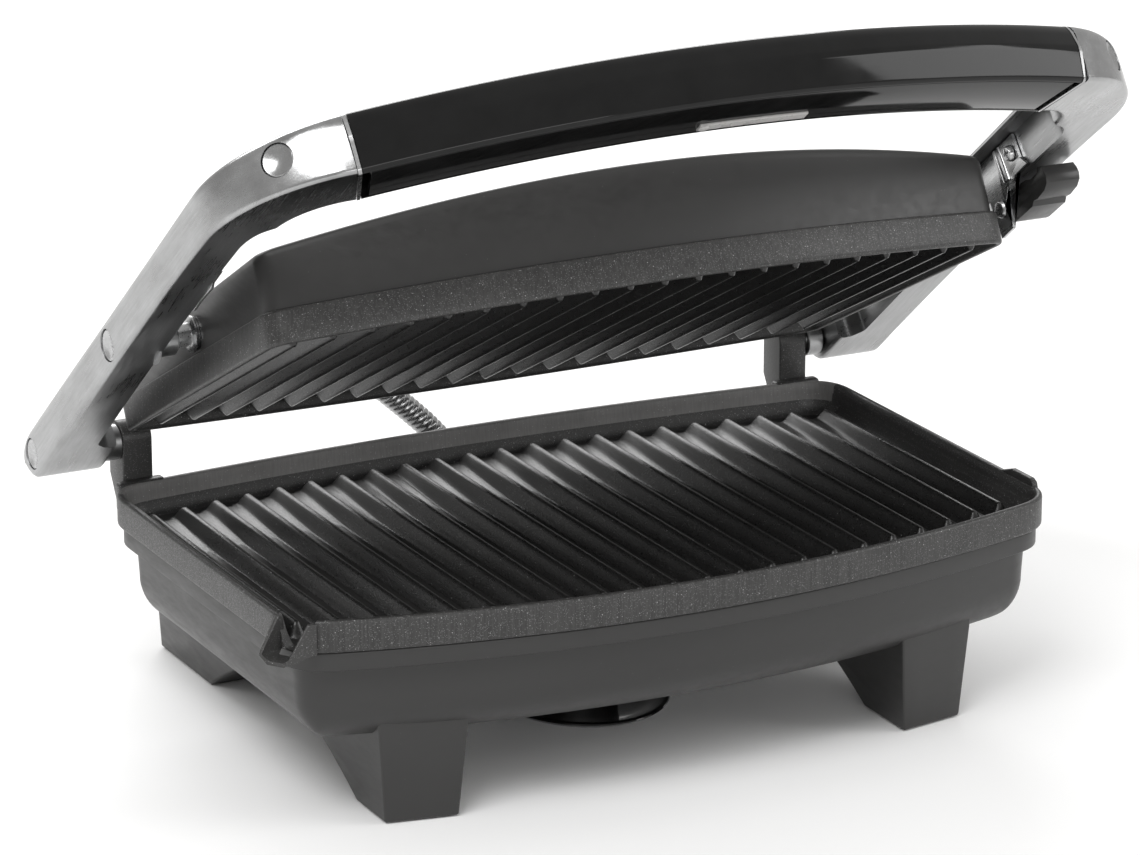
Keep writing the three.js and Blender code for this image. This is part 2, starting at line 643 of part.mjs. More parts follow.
function pivotPin(side) {
  // shank, with a round washer face against the head
  const [, y, z] = armPoint(side, 0, PIVOT_REACH, 0);
  return bar([side * 122.5, y, z], [side * 160.6, y, z], PIN_R)
    .add(bar([side * 134.6, y, z], [side * 136, y, z], 6.4))
    .add(bar([side * 122.5, y, z], [side * 124, y, z], 6));
}

function lens(x) {
  const top = domeHeight(x, -138);
  return bar([x, -138, top - 3], [x, -138, top + 0.8], 3, 3)
    .add(bar([x, -138, top + 0.7], [x, -138, top + 1.5], 2.9, 1.8));
}

function switchBody(x, y, z) {
  return bar([x, y, z], [x, y, z + 5], 8).add(box(x - 3, x + 3, y - 13, y + 13, z + 1, z + 2));
}

// ---- Latch, conduit and small parts ---------------------------------------
function latchLever() {
  const endRadius = 5;
  const profile = [];
  for (let k = 0; k <= 8; k++) {
    const t = (66 + 204 * k / 8) * Math.PI / 180;
    profile.push([LATCH_S + endRadius * Math.cos(t), LATCH_N + endRadius * Math.sin(t)]);
  }
  profile.push([147.8, -17.9], [149.6, -16.6], [152.4, -17.1], [158, -16.6], [160.9, -15.1],
    [161.8, -13], [161.5, -11], [160.4, -8.7], [158.6, -8], [157, -9.5], [154.8, -10.2],
    [152, -9.6], [149, -8.5], [146, -8]);
  return sidePrism(1, profile, 151.6, 164.8).subtract(bar(armPoint(1, 140, LATCH_S, LATCH_N),
    armPoint(1, 170, LATCH_S, LATCH_N), 2.3, 2.3, 14));
}

function latchPin() {
  const at = x => armPoint(1, x, LATCH_S, LATCH_N);
  return bar(at(147), at(164.8), 2, 2, 14).add(bar(at(146), at(147.3), 2.6, 3.4, 14));
}

function conduitPath() {
  const out = [-8, -3, 2, 7].map(y => headPoint(-42, y, 18.5));
  return [...out, [-38.5, 179.5, 31], [-26, 182.5, 18.5], [-11, 182.5, 4.5], [0, 181, -9],
    [4.4, 175.5, -19.5], [5, 168, -22], [5, 163, -22], [5, 157, -22]];
}

function conduit() {
  return sweep(conduitPath(), 4.5, 10, 28);
}

function terminalBlock() {
  let body = box(-22, 22, 128, 142, TUB_BOTTOM + SHELL + 0.4, TUB_BOTTOM + SHELL + 10);
  for (let k = -1; k <= 1; k++) {
    body = body.subtract(bar([k * 14, 135, -34], [k * 14, 135, -20], 2.6, 2.6, 12));
  }
  return body;
}

// ---- Assembly -------------------------------------------------------------
const coat = [0x3a3a3b, 0.62, 0.2];
const plastic = [0x343332, 0.5, 0];
const cast = [0xb4b6ba, 0.32, 0.95];
const steel = [0xc3c6c9, 0.25, 1];
const gloss = [0x0b0b0c, 0.12, 0];
const rubber = [0x161616, 0.9, 0];

add('lower_housing', lowerHousing(), plastic);
add('lower_plate', lowerPlate(), coat);
add('lower_element', element(-13, 142, 20, 110), steel);
add('lower_reflector', reflector(LOWER, 16, -21), steel);
add('lower_thermostat', switchBody(0, 70, -27.5), plastic);
add('thermal_fuse', bar([-30, 96, -24.5], [-10, 96, -24.5], 2.4), steel);
add('terminal_block', terminalBlock(), plastic);
add('wrap_disc', wrapDisc(), gloss);
add('wrap_disc_screw', wrapScrew(), steel);
add('cord_inlet', tube([70, 154.2, -26], [70, 168, -26], 7, 3.6)
  .add(tube([70, 159.4, -26], [70, 161.4, -26], 10, 3.6)), rubber);
add('conduit_gland_lower', tube([5, 155.4, -22], [5, 166, -22], 6.4, 4.8), steel);
add('conduit_gland_upper', placeHead(tube([-42, -5, 18.5], [-42, 5.5, 18.5], 6.4, 4.8)), steel);
footSpots().forEach(([x, y], i) => {
  add(`foot_pad_${['front_left', 'front_right', 'rear_left', 'rear_right'][i]}`, footPad(x, y), rubber);
});
for (const [side, word] of [[-1, 'left'], [1, 'right']]) {
  add(`hinge_pin_${word}`, hingePin(side), steel);
  add(`hinge_bush_${word}`, hingeBush(side), cast);
  add(`arm_${word}`, arm(side), cast);
  add(`hinge_cap_${word}`, dishCap(side, 0), steel);
  add(`pivot_cap_${word}`, dishCap(side, PIVOT_REACH), steel);
  const [from, to] = cornerAxis(side, 2.1);
  const inner = to.map((v, i) => from[i] + (v - from[i]) * 0.4);
  add(`grip_cap_${word}`, bar(from, inner, 5.1, 5.2, 24), cast);
  add(`arm_cover_${word}`, armCover(side), steel);
  add(`cover_screw_${word}`, coverScrew(side), steel);
  add(`grip_collar_${word}`, gripCollar(side), steel);
  add(`pivot_pin_${word}`, pivotPin(side), steel);
}
add('grip_shell', gripShell(), gloss);
add('grip_base', gripBase(), gloss);
add('grip_inlay', gripInlay(), [0x9aa6ad, 0.3, 0]);
add('grip_tie_bar', gripTie(), steel);
add('upper_plate', placeHead(upperPlate()), coat);
add('upper_housing', placeHead(upperHousing()), plastic);
add('upper_element', placeHead(element(12.4, -28, -140, 104)), steel);
add('upper_reflector', placeHead(reflector(UPPER, 24, 16.6)), steel);
add('upper_thermostat', placeHead(switchBody(0, -75, 18)), plastic);
add('power_lens', placeHead(lens(-22)), [0xb03020, 0.2, 0]);
add('ready_lens', placeHead(lens(22)), [0x2f8f3a, 0.2, 0]);
add('latch_lever', latchLever(), plastic);
add('latch_pin', latchPin(), steel);
add('conduit', conduit(), steel);

const group = new THREE.Group();
group.name = 'contact_grill';
for (const { name, body, look } of parts) {
  const mesh = body.getMesh();
  const geometry = new THREE.BufferGeometry();
  geometry.setAttribute('position', new THREE.BufferAttribute(Float32Array.from(mesh.vertProperties), 3));
  geometry.setIndex([...mesh.triVerts]);
  geometry.translate(0, DEPTH_SHIFT, FLOOR_DROP);
  geometry.computeVertexNormals();
  const [color, roughness, metalness] = look;
  const item = new THREE.Mesh(geometry, new THREE.MeshStandardMaterial({ color, roughness, metalness }));
  item.name = name;
  group.add(item);
}

export default group;
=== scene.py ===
import json
import math
import bpy
import bmesh
import numpy as np
from mathutils import Matrix, Vector

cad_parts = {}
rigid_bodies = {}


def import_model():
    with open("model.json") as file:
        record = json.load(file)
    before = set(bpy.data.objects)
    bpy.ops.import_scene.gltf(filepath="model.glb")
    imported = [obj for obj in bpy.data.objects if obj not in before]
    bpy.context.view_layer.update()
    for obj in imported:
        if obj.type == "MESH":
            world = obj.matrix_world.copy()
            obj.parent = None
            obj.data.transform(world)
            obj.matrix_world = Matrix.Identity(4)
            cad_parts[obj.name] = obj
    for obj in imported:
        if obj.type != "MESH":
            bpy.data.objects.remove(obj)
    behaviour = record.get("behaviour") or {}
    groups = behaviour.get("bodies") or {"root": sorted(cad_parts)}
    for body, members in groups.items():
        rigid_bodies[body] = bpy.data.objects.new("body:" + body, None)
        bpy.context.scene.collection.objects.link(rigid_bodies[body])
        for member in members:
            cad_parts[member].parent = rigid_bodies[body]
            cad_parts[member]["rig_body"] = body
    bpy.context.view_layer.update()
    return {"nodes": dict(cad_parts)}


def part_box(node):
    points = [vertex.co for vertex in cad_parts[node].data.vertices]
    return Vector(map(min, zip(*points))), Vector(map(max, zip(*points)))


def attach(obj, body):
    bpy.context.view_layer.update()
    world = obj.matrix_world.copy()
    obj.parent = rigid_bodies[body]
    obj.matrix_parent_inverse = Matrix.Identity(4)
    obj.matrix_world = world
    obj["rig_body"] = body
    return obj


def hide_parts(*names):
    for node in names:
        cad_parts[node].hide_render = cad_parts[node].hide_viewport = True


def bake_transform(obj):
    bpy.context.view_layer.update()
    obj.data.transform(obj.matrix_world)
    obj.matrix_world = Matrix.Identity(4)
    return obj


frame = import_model()

# ---- Dimensions, millimetres unless a name says otherwise -------------------
# Plate coordinates: x from the middle, y from the front rib ends, z from the tops
# of the lower ribs. Everything is moved to the row frame, in metres, by row().
TAB_REAR = 174.9                  # rear of the hinge tabs in plate coordinates
FLOOR_DROP = 69.0                 # leg bottoms below the tops of the lower ribs
SHIFT_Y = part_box("lower_plate")[1][1] * 1000 - TAB_REAR

RIB_PITCH = 12.5
RIB_HEIGHT = 5.5
LOWER_RIBS = 22
UPPER_RIBS = 21
RIM_TOP = 6.4
SKIRT_BOTTOM = -4.6
TUB_BOTTOM = -40.0

HINGE_Y = 167.0
HINGE_Z = 19.5
ARM_ANGLE = math.radians(38.65)
PIVOT_REACH = 92.06
HEAD_TILT = math.radians(27)
HEAD_PIVOT_BACK = 82.3
HEAD_PIVOT_UP = 18.1
ARM_OUTER = 165.0
ARM_INNER = 140.6
CORNER_X = 115.0
CORNER_S = 190.5
CORNER_R = 37.8
GRIP_END = math.radians(72)
GRIP_BOW = 20.0
REAR_HEEL = 196.0
WEB_X = 149.0                     # inner face of the arm's outer wall, behind its pocket
FLANGE_N = 6.6                    # underside of the arm's top flange
WRAP_X, WRAP_Y = -13.0, 62.0      # middle of the cord wrap disc
WRAP_HALF = 31.0
WRAP_STRETCH = 1.28
WRAP_BOTTOM = -58.6
HOSE_LOW = (5, 169, -22)          # where the conduit enters the lower housing
HOSE_HIGH = (-42, 9, 18.5)        # where it enters the upper one, head coordinates
HOSE_SPLIT = (-24.5, 182.5, 17)   # where its two pieces meet
HOSE_R = 3.98
HOSE_EDGE = 0.5                   # how far the edge of its strip stands proud
HOSE_WINDING = 2.4
LENS_X, LENS_Y = 22, -138         # lenses on the upper housing, head coordinates
FOOT_X = 95.6
FOOT_Y = (18, 176)

SPOUT_AT = np.array((-138.5, 9.4))         # middle of the spout's notch in the rim
SPOUT_ALONG = np.array((-0.4686, 0.8834))  # unit vector along the notch
LOWER = dict(half=142, front=-17.5, rear=167.5, front_bow=23, rear_bow=8.7, corner=15)
UPPER = dict(half=135.6, front=-167.8, rear=4.1, front_bow=21, rear_bow=7.9, corner=7)


# ---- Frames -----------------------------------------------------------------
def row(points):
    """Plate coordinates in millimetres to the row frame in metres."""
    return (np.asarray(points, float) + (0, SHIFT_Y, FLOOR_DROP)) / 1000


def arm_at(side, x, s, n):
    """Arm coordinates: x across, s from the hinge along the arm, n out of its top."""
    cos, sin = math.cos(ARM_ANGLE), math.sin(ARM_ANGLE)
    return (side * x, HINGE_Y - s * cos + n * sin, HINGE_Z + s * sin + n * cos)


HEAD = (Matrix.Translation(arm_at(1, 0, PIVOT_REACH, 0))
        @ Matrix.Rotation(-HEAD_TILT, 4, "X")
        @ Matrix.Translation((0, HEAD_PIVOT_BACK, -HEAD_PIVOT_UP)))


def head_at(points):
    """Head coordinates (level, from the rear edge of its ribs) to plate coordinates."""
    m = np.array(HEAD)
    return np.asarray(points, float) @ m[:3, :3].T + m[:3, 3]


# ---- Materials --------------------------------------------------------------
class Look:
    """A procedural material built up from a Principled shader."""

    def __init__(self, name, **constants):
        self.mat = bpy.data.materials.new(name)
        self.mat.use_nodes = True
        self.tree = self.mat.node_tree
        self.shader = self.tree.nodes["Principled BSDF"]
        self.place = self.tree.nodes.new("ShaderNodeTexCoord").outputs["Object"]
        for key, value in constants.items():
            self.shader.inputs[key.replace("_", " ")].default_value = value

    def node(self, kind, links=(), **settings):
        made = self.tree.nodes.new(kind)
        for key, value in settings.items():
            setattr(made, key, value)
        for socket, value in dict(links).items():
            target = made.inputs[socket]
            if isinstance(value, bpy.types.NodeSocket):
                self.tree.links.new(value, target)
            else:
                target.default_value = value
        return made

    def mapped(self, scale, turn=0.0, shift=(0, 0, 0)):
        """Object position, turned about x, then scaled per metre."""
        turned = self.node("ShaderNodeMapping", {
            "Vector": self.place, "Rotation": (turn, 0, 0), "Location": shift})
        return self.node("ShaderNodeMapping", {
            "Vector": turned.outputs[0], "Scale": scale}).outputs[0]

    def noise(self, vector, scale=1.0, detail=3.0, rough=0.5):
        return self.node("ShaderNodeTexNoise", {
            "Vector": vector, "Scale": scale, "Detail": detail, "Roughness": rough}).outputs[0]

    def span(self, value, low, high, to_low=0.0, to_high=1.0):
        return self.node("ShaderNodeMapRange", {
            "Value": value, "From Min": low, "From Max": high,
            "To Min": to_low, "To Max": to_high}).outputs[0]

    def math(self, operation, a, b=0.0):
        made = self.node("ShaderNodeMath", {0: a, 1: b}, operation=operation)
        return made.outputs[0]

    def mix(self, factor, a, b):
        made = self.node("ShaderNodeMix", data_type="RGBA")
        for index, value in ((0, factor), (6, a), (7, b)):
            target = made.inputs[index]
            if isinstance(value, bpy.types.NodeSocket):
                self.tree.links.new(value, target)
            else:
                target.default_value = value
        return made.outputs[2]

    def axis(self, vector, index):
        return self.node("ShaderNodeSeparateXYZ", {0: vector}).outputs[index]

    def specks(self, per_metre, size, share):
        """Small round flecks: 1 inside, 0 outside; share of the cells that hold one."""
        cells = self.node("ShaderNodeTexVoronoi", {
            "Vector": self.mapped((per_metre,) * 3), "Scale": 1.0, "Randomness": 1.0})
        chosen = self.axis(cells.outputs["Color"], 0)
        dot = self.span(cells.outputs["Distance"], size, size * 0.5)
        keep = self.span(chosen, 1 - share, 1 - share * 0.4)
        return self.math("MULTIPLY", dot, keep)

    def color(self, socket):
        self.tree.links.new(socket, self.shader.inputs["Base Color"])

    def roughness(self, socket):
        self.tree.links.new(socket, self.shader.inputs["Roughness"])

    def bump(self, height, strength, distance_mm, over=None):
        links = {"Height": height, "Strength": strength, "Distance": distance_mm / 1000}
        if over is not None:
            links["Normal"] = over
        made = self.node("ShaderNodeBump", links)
        return made.outputs[0]

    def normal(self, socket):
        self.tree.links.new(socket, self.shader.inputs["Normal"])


def grey(v, warm=0.0, alpha=1.0):
    return (v * (1 + warm), v, v * (1 - warm), alpha)


def coat_look(name, base, lines, rough, flecks, pale=None):
    """Speckled non-stick coat over cast aluminium; `lines` are machining strokes.

    `pale` is where, front to rear, the coat turns paler and duller; the paler colour is a painted
    reflection."""
    look = Look(name, Metallic=0.0)
    cloud = look.noise(look.mapped((45, 45, 45)), detail=4)
    stroke = look.noise(look.mapped((1500, 900, 55)), detail=2)
    shade = look.math("ADD", look.span(cloud, 0.3, 0.7, -0.22, 0.22),
                      look.span(stroke, 0.35, 0.65, -lines, lines))
    tone = look.mix(look.span(shade, -0.6, 0.6), grey(base * 0.55, 0.02), grey(base * 1.6, 0.02))
    small = look.specks(2600, 0.42, flecks)
    large = look.specks(1150, 0.24, flecks * 0.4)
    tone = look.mix(small, tone, grey(0.16))
    tone = look.mix(large, tone, grey(0.34))
    peel = look.noise(look.mapped((1400, 1400, 1400)), detail=3)
    dull = look.math("ADD", look.span(peel, 0.3, 0.7, rough - 0.05, rough + 0.07),
                     look.math("MULTIPLY", small, -0.12))
    # Painted reflection: the coat's colour is made paler towards the rear.
    if pale is not None:
        painted_reflection_mask = look.span(look.axis(look.mapped((1, 1, 1)), 1), pale[0], pale[1])
        painted_reflection_tone = look.mix(look.span(peel, 0.35, 0.65), grey(0.014, 0.02), grey(0.034, 0.02))
        tone = look.mix(painted_reflection_mask, tone, painted_reflection_tone)
        dull = look.math("ADD", dull, look.math("MULTIPLY", painted_reflection_mask, 0.12))
    look.color(tone)
    look.roughness(dull)
    first = look.bump(peel, 0.35, 0.10)
    second = look.bump(stroke, 0.25 if lines > 0.1 else 0.05, 0.10, first)
    look.normal(second)
    return look.mat


def plastic_look(name, base, rough, grain, wear=0.06):
    """Moulded satin plastic: fine grain, faint flow marks and handling sheen."""
    look = Look(name, Metallic=0.0)
    flow = look.noise(look.mapped((9, 14, 22)), detail=4, rough=0.55)
    grain_map = look.noise(look.mapped((5200, 5200, 5200)), detail=2)
    scuff = look.noise(look.mapped((260, 90, 400)), detail=5, rough=0.65)
    tone = look.mix(look.span(flow, 0.3, 0.7), grey(base * 0.88, 0.02), grey(base * 1.12, 0.02))
    tone = look.mix(look.span(scuff, 0.66, 0.8, 0, 0.25), tone, grey(base * 1.8, 0.02))
    dust = look.specks(620, 0.09, 0.10)
    tone = look.mix(look.math("MULTIPLY", dust, 0.35), tone, grey(0.3))
    look.color(tone)
    sheen = look.math("ADD", look.span(flow, 0.3, 0.7, rough - 0.03, rough + 0.03),
                      look.span(scuff, 0.35, 0.75, -wear, wear))
    look.roughness(sheen)
    look.normal(look.bump(scuff, 0.04, 0.05, look.bump(grain_map, grain, 0.02)))
    return look.mat


def alloy_look(name, base, rough, turn, along, polish_from=None):
    """Cast and brushed aluminium. `turn` brings the brushing onto y; `along` stretches it."""
    look = Look(name, Metallic=1.0)
    brushed = look.noise(look.mapped((1700, 1700 / along, 1700), turn), detail=4, rough=0.6)
    drift = look.noise(look.mapped((60, 24, 60), turn), detail=5, rough=0.6)
    pits = look.specks(1250, 0.16, 0.25)
    tone = look.mix(look.span(drift, 0.3, 0.7), grey(base * 0.62), grey(base * 1.16, -0.01))
    tone = look.mix(look.span(brushed, 0.3, 0.75, 0, 0.35), tone, grey(base * 0.66))
    tone = look.mix(look.math("MULTIPLY", pits, 0.45), tone, grey(0.14))
    look.color(tone)
    worn = look.math("ADD", look.span(drift, 0.25, 0.75, rough - 0.07, rough + 0.09),
                     look.span(brushed, 0.3, 0.7, -0.05, 0.06))
    if polish_from is not None:
        reach = look.axis(look.mapped((1, 1, 1), turn), 1)
        shine = look.span(reach, polish_from[0], polish_from[1])
        worn = look.math("SUBTRACT", worn, look.math("MULTIPLY", shine, 0.10))
    look.roughness(worn)
    look.normal(look.bump(drift, 0.10, 0.6, look.bump(brushed, 0.16, 0.03)))
    return look.mat


def gloss_look(name, base, rough):
    """Polished black: faint orange peel, hairline scratches and finger haze."""
    look = Look(name, Metallic=0.0, Specular_IOR_Level=0.22, Coat_Weight=0.08,
                Coat_Roughness=0.05)
    haze = look.noise(look.mapped((70, 70, 70)), detail=5, rough=0.65)
    hair = look.noise(look.mapped((30, 2200, 2200)), detail=2)
    peel = look.noise(look.mapped((420, 420, 420)), detail=1)
    look.color(look.mix(look.span(haze, 0.3, 0.7), grey(base), grey(base * 1.7)))
    look.roughness(look.math("ADD", look.span(haze, 0.35, 0.75, rough, rough + 0.08),
                             look.span(hair, 0.62, 0.75, 0, 0.06)))
    look.normal(look.bump(hair, 0.03, 0.01, look.bump(peel, 0.03, 0.05)))
    return look.mat


def clear_look(name, tint):
    """Small moulded lens with a faint inner ring pattern."""
    look = Look(name, Metallic=0.0, IOR=1.49, Transmission_Weight=0.35, Roughness=0.12)
    ripple = look.noise(look.mapped((900, 900, 900)), detail=2)
    dark = tuple(c * 0.45 for c in tint[:3]) + (1,)
    look.color(look.mix(look.span(ripple, 0.3, 0.7), dark, tint))
    look.normal(look.bump(ripple, 0.15, 0.05))
    return look.mat


COAT_SKIRT = coat_look("coat_skirt", 0.024, 0.38, 0.42, 0.42)
COAT_WALL = coat_look("coat_wall", 0.026, 0.04, 0.40, 0.38)
COAT_GRILL = coat_look("coat_grill", 0.010, 0.02, 0.30, 0.05)
# The floor coat turns paler at the rear, which is a painted reflection.
COAT_FLOOR = coat_look("coat_floor", 0.010, 0.02, 0.30, 0.05, (0.036, 0.078))
# Painted light: a much paler, more speckled coat for the rear wall's inner face, standing in for
# the light that falls on it.
COAT_PAINTED_LIGHT_BAND = coat_look("coat_band_painted_light", 0.16, 0.10, 0.50, 0.9)
HOUSING = plastic_look("housing_satin", 0.022, 0.42, 0.10)
LATCH = plastic_look("latch_satin", 0.016, 0.36, 0.12)
RUBBER = plastic_look("foot_rubber", 0.015, 0.72, 0.35)
ARM_ALLOY = alloy_look("arm_alloy", 0.42, 0.31, ARM_ANGLE, 26, (-0.175, -0.215))
HEAD_STEEL = alloy_look("bright_steel", 0.52, 0.26, 0.0, 3)
SHEET = alloy_look("sheet_metal", 0.62, 0.27, ARM_ANGLE, 18)
GLOSS = gloss_look("grip_gloss", 0.004, 0.06)
INLAY = plastic_look("inlay_satin", 0.36, 0.30, 0.05)
LENS_RED = clear_look("lens_red", (0.55, 0.05, 0.03, 1))
LENS_GREEN = clear_look("lens_green", (0.06, 0.42, 0.09, 1))


# ---- Mesh helpers -----------------------------------------------------------
def piece(name, points, faces, body, slot, looks, replaces=(), sharp=32.0, picks=None):
    """A mesh object in the row frame from plate coordinates."""
    mesh = bpy.data.meshes.new(name)
    mesh.from_pydata([tuple(p) for p in row(points)], [], [tuple(f) for f in faces])
    for look in looks:
        mesh.materials.append(look)
    if picks is not None:
        mesh.polygons.foreach_set("material_index", picks)
    obj = bpy.data.objects.new(name, mesh)
    bpy.context.scene.collection.objects.link(obj)
    return dress(obj, body, replaces, sharp)


def dress(obj, body, replaces=(), sharp=32.0):
    work = bmesh.new()
    work.from_mesh(obj.data)
    bmesh.ops.remove_doubles(work, verts=work.verts, dist=1e-6)
    bmesh.ops.recalc_face_normals(work, faces=work.faces)
    work.to_mesh(obj.data)
    work.free()
    obj.data.polygons.foreach_set("use_smooth", [True] * len(obj.data.polygons))
    obj.data.set_sharp_from_angle(angle=math.radians(sharp))
    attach(obj, body)
    if replaces:
        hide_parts(*replaces)
    return obj


def loft(rings, caps=True):
    """Faces through a row of closed rings with the same number of points."""
    rings = [np.asarray(r, float) for r in rings]
    count = len(rings[0])
    faces = []
    for i in range(len(rings) - 1):
        for j in range(count):
            a, b = i * count + j, i * count + (j + 1) % count
            faces.append((a, b, b + count, a + count))
    if caps:
        last = (len(rings) - 1) * count
        faces.append(tuple(range(count))[::-1])
        faces.append(tuple(range(last, last + count)))
    return np.concatenate(rings), faces


def merged(*parts):
    """Several (points, faces) lists as one."""
    points, faces, start = [], [], 0
    for p, f in parts:
        points.append(np.asarray(p, float))
        faces += [tuple(i + start for i in face) for face in f]
        start += len(p)
    return np.concatenate(points), faces


def rounded(polygon, radius, steps=4):
    """A 2-D polygon with every corner replaced by a small arc."""
    polygon = [np.asarray(p, float) for p in polygon]
    count = len(polygon)
    radii = radius if isinstance(radius, (list, tuple)) else [radius] * count
    out = []
    for i, p in enumerate(polygon):
        a, b = polygon[i - 1], polygon[(i + 1) % count]
        to_a, to_b = a - p, b - p
        la, lb = np.linalg.norm(to_a), np.linalg.norm(to_b)
        r = min(radii[i], la * 0.45, lb * 0.45)
        start, end = p + to_a / la * r, p + to_b / lb * r
        for k in range(steps + 1):
            t = k / steps
            out.append((1 - t) ** 2 * start + 2 * t * (1 - t) * p + t * t * end)
    return out


def lathe(origin, axis, profile, steps=56):
    """A turned part: profile is (height along the axis, radius), in plate coordinates."""
    axis = Vector(axis).normalized()
    side = axis.orthogonal().normalized()
    other = axis.cross(side)
    rings = []
    for height, radius in profile:
        ring = []
        for k in range(steps):
            t = 2 * math.pi * k / steps
            p = (Vector(origin) + axis * height
                 + side * (radius * math.cos(t)) + other * (radius * math.sin(t)))
            ring.append(tuple(p))
        rings.append(ring)
    return loft(rings)


def bevelled(obj, width_mm, segments=3, angle=30.0):
    """Rounds an object's sharp edges for good."""
    made = obj.modifiers.new("edge", "BEVEL")
    made.width = width_mm / 1000
    made.segments = segments
    made.limit_method = "ANGLE"
    made.angle_limit = math.radians(angle)
    made.use_clamp_overlap = True
    return baked(obj)


def baked(obj):
    graph = bpy.context.evaluated_depsgraph_get()
    mesh = bpy.data.meshes.new_from_object(obj.evaluated_get(graph))
    obj.modifiers.clear()
    obj.data = mesh
    return obj


def rough_piece(name, points, faces, looks):
    """An undressed object, for cutting and bevelling before it rides."""
    mesh = bpy.data.meshes.new(name)
    mesh.from_pydata([tuple(p) for p in row(points)], [], [tuple(f) for f in faces])
    for look in looks:
        mesh.materials.append(look)
    obj = bpy.data.objects.new(name, mesh)
    bpy.context.scene.collection.objects.link(obj)
    work = bmesh.new()
    work.from_mesh(mesh)
    bmesh.ops.remove_doubles(work, verts=work.verts, dist=1e-6)
    bmesh.ops.recalc_face_normals(work, faces=work.faces)
    work.to_mesh(mesh)
    work.free()
    return obj


def cut(obj, *cutters):
    for points, faces in cutters:
        tool = rough_piece("cutter", points, faces, [])
        made = obj.modifiers.new("cut", "BOOLEAN")
        made.operation = "DIFFERENCE"
        made.solver = "EXACT"
        made.object = tool
        baked(obj)
        bpy.data.objects.remove(tool)
    return obj


def refined(node, body, look, width_mm, sharp=32.0):
    """A CAD solid's own shape with its edges rounded, standing for that node."""
    source = frame["nodes"][node]
    source = source if isinstance(source, bpy.types.Object) else bpy.data.objects[node]
    mesh = source.data.copy()
    mesh.materials.clear()
    mesh.materials.append(look)
    mesh.polygons.foreach_set("material_index", [0] * len(mesh.polygons))
    obj = bpy.data.objects.new(f"{node}_finished", mesh)
    bpy.context.scene.collection.objects.link(obj)
    work = bmesh.new()
    work.from_mesh(mesh)
    bmesh.ops.remove_doubles(work, verts=work.verts, dist=2e-6)
    bmesh.ops.dissolve_limit(work, angle_limit=math.radians(0.6),
                             verts=work.verts, edges=work.edges)
    bmesh.ops.recalc_face_normals(work, faces=work.faces)
    work.to_mesh(mesh)
    work.free()
    if width_mm:
        bevelled(obj, width_mm, 2, 35)
    return dress(obj, body, (node,), sharp)


# ---- Bowed plates -----------------------------------------------------------
def outline(plan, inset, steps=44, bend=12):
    """Plan outline of a bowed plate, moved in by inset, corners rounded."""
    half = plan["half"] - inset
    corner = max(plan["corner"] - inset, 2)
    edge = half - corner

    def front(x):
        return plan["front"] + plan["front_bow"] * (x / plan["half"]) ** 2 + inset

    def rear(x):
        return plan["rear"] - plan["rear_bow"] * (x / plan["half"]) ** 2 - inset

    def curve(a, b, c, first=1, last=None):
        for i in range(first, (bend if last is None else last) + 1):
            t = i / bend
            points.append(tuple((1 - t) ** 2 * a[k] + 2 * t * (1 - t) * b[k] + t * t * c[k]
                                for k in (0, 1)))

    points = [(x, front(x)) for x in np.linspace(-edge, edge, steps + 1)]
    curve((edge, front(edge)), (half, front(half)), (half, front(half) + corner))
    curve((half, rear(half) - corner), (half, rear(half)), (edge, rear(edge)), 0)
    points += [(x, rear(x)) for x in np.linspace(edge, -edge, steps + 1)[1:]]
    curve((-edge, rear(edge)), (-half, rear(half)), (-half, rear(half) - corner))
    curve((-half, front(half) + corner), (-half, front(half)), (-edge, front(edge)), 0, bend - 1)
    return np.array(points)


def level(plan, inset, z, **fine):
    flat = outline(plan, inset, **fine)
    return np.column_stack([flat, np.full(len(flat), z)])


def rib_profile(distance):
    """Height share of a rib at a distance from its crest line."""
    d = np.abs(distance)
    crest = 1 - 0.055 * (d / 0.9) ** 2
    flank = 0.945 - (d - 0.9) / 2.75 * 0.86
    foot = np.clip(0.085 * (1 - (d - 3.65) / 1.5), 0, 1)
    return np.where(d < 0.9, crest, np.where(d < 3.65, flank, foot * foot / 0.085))


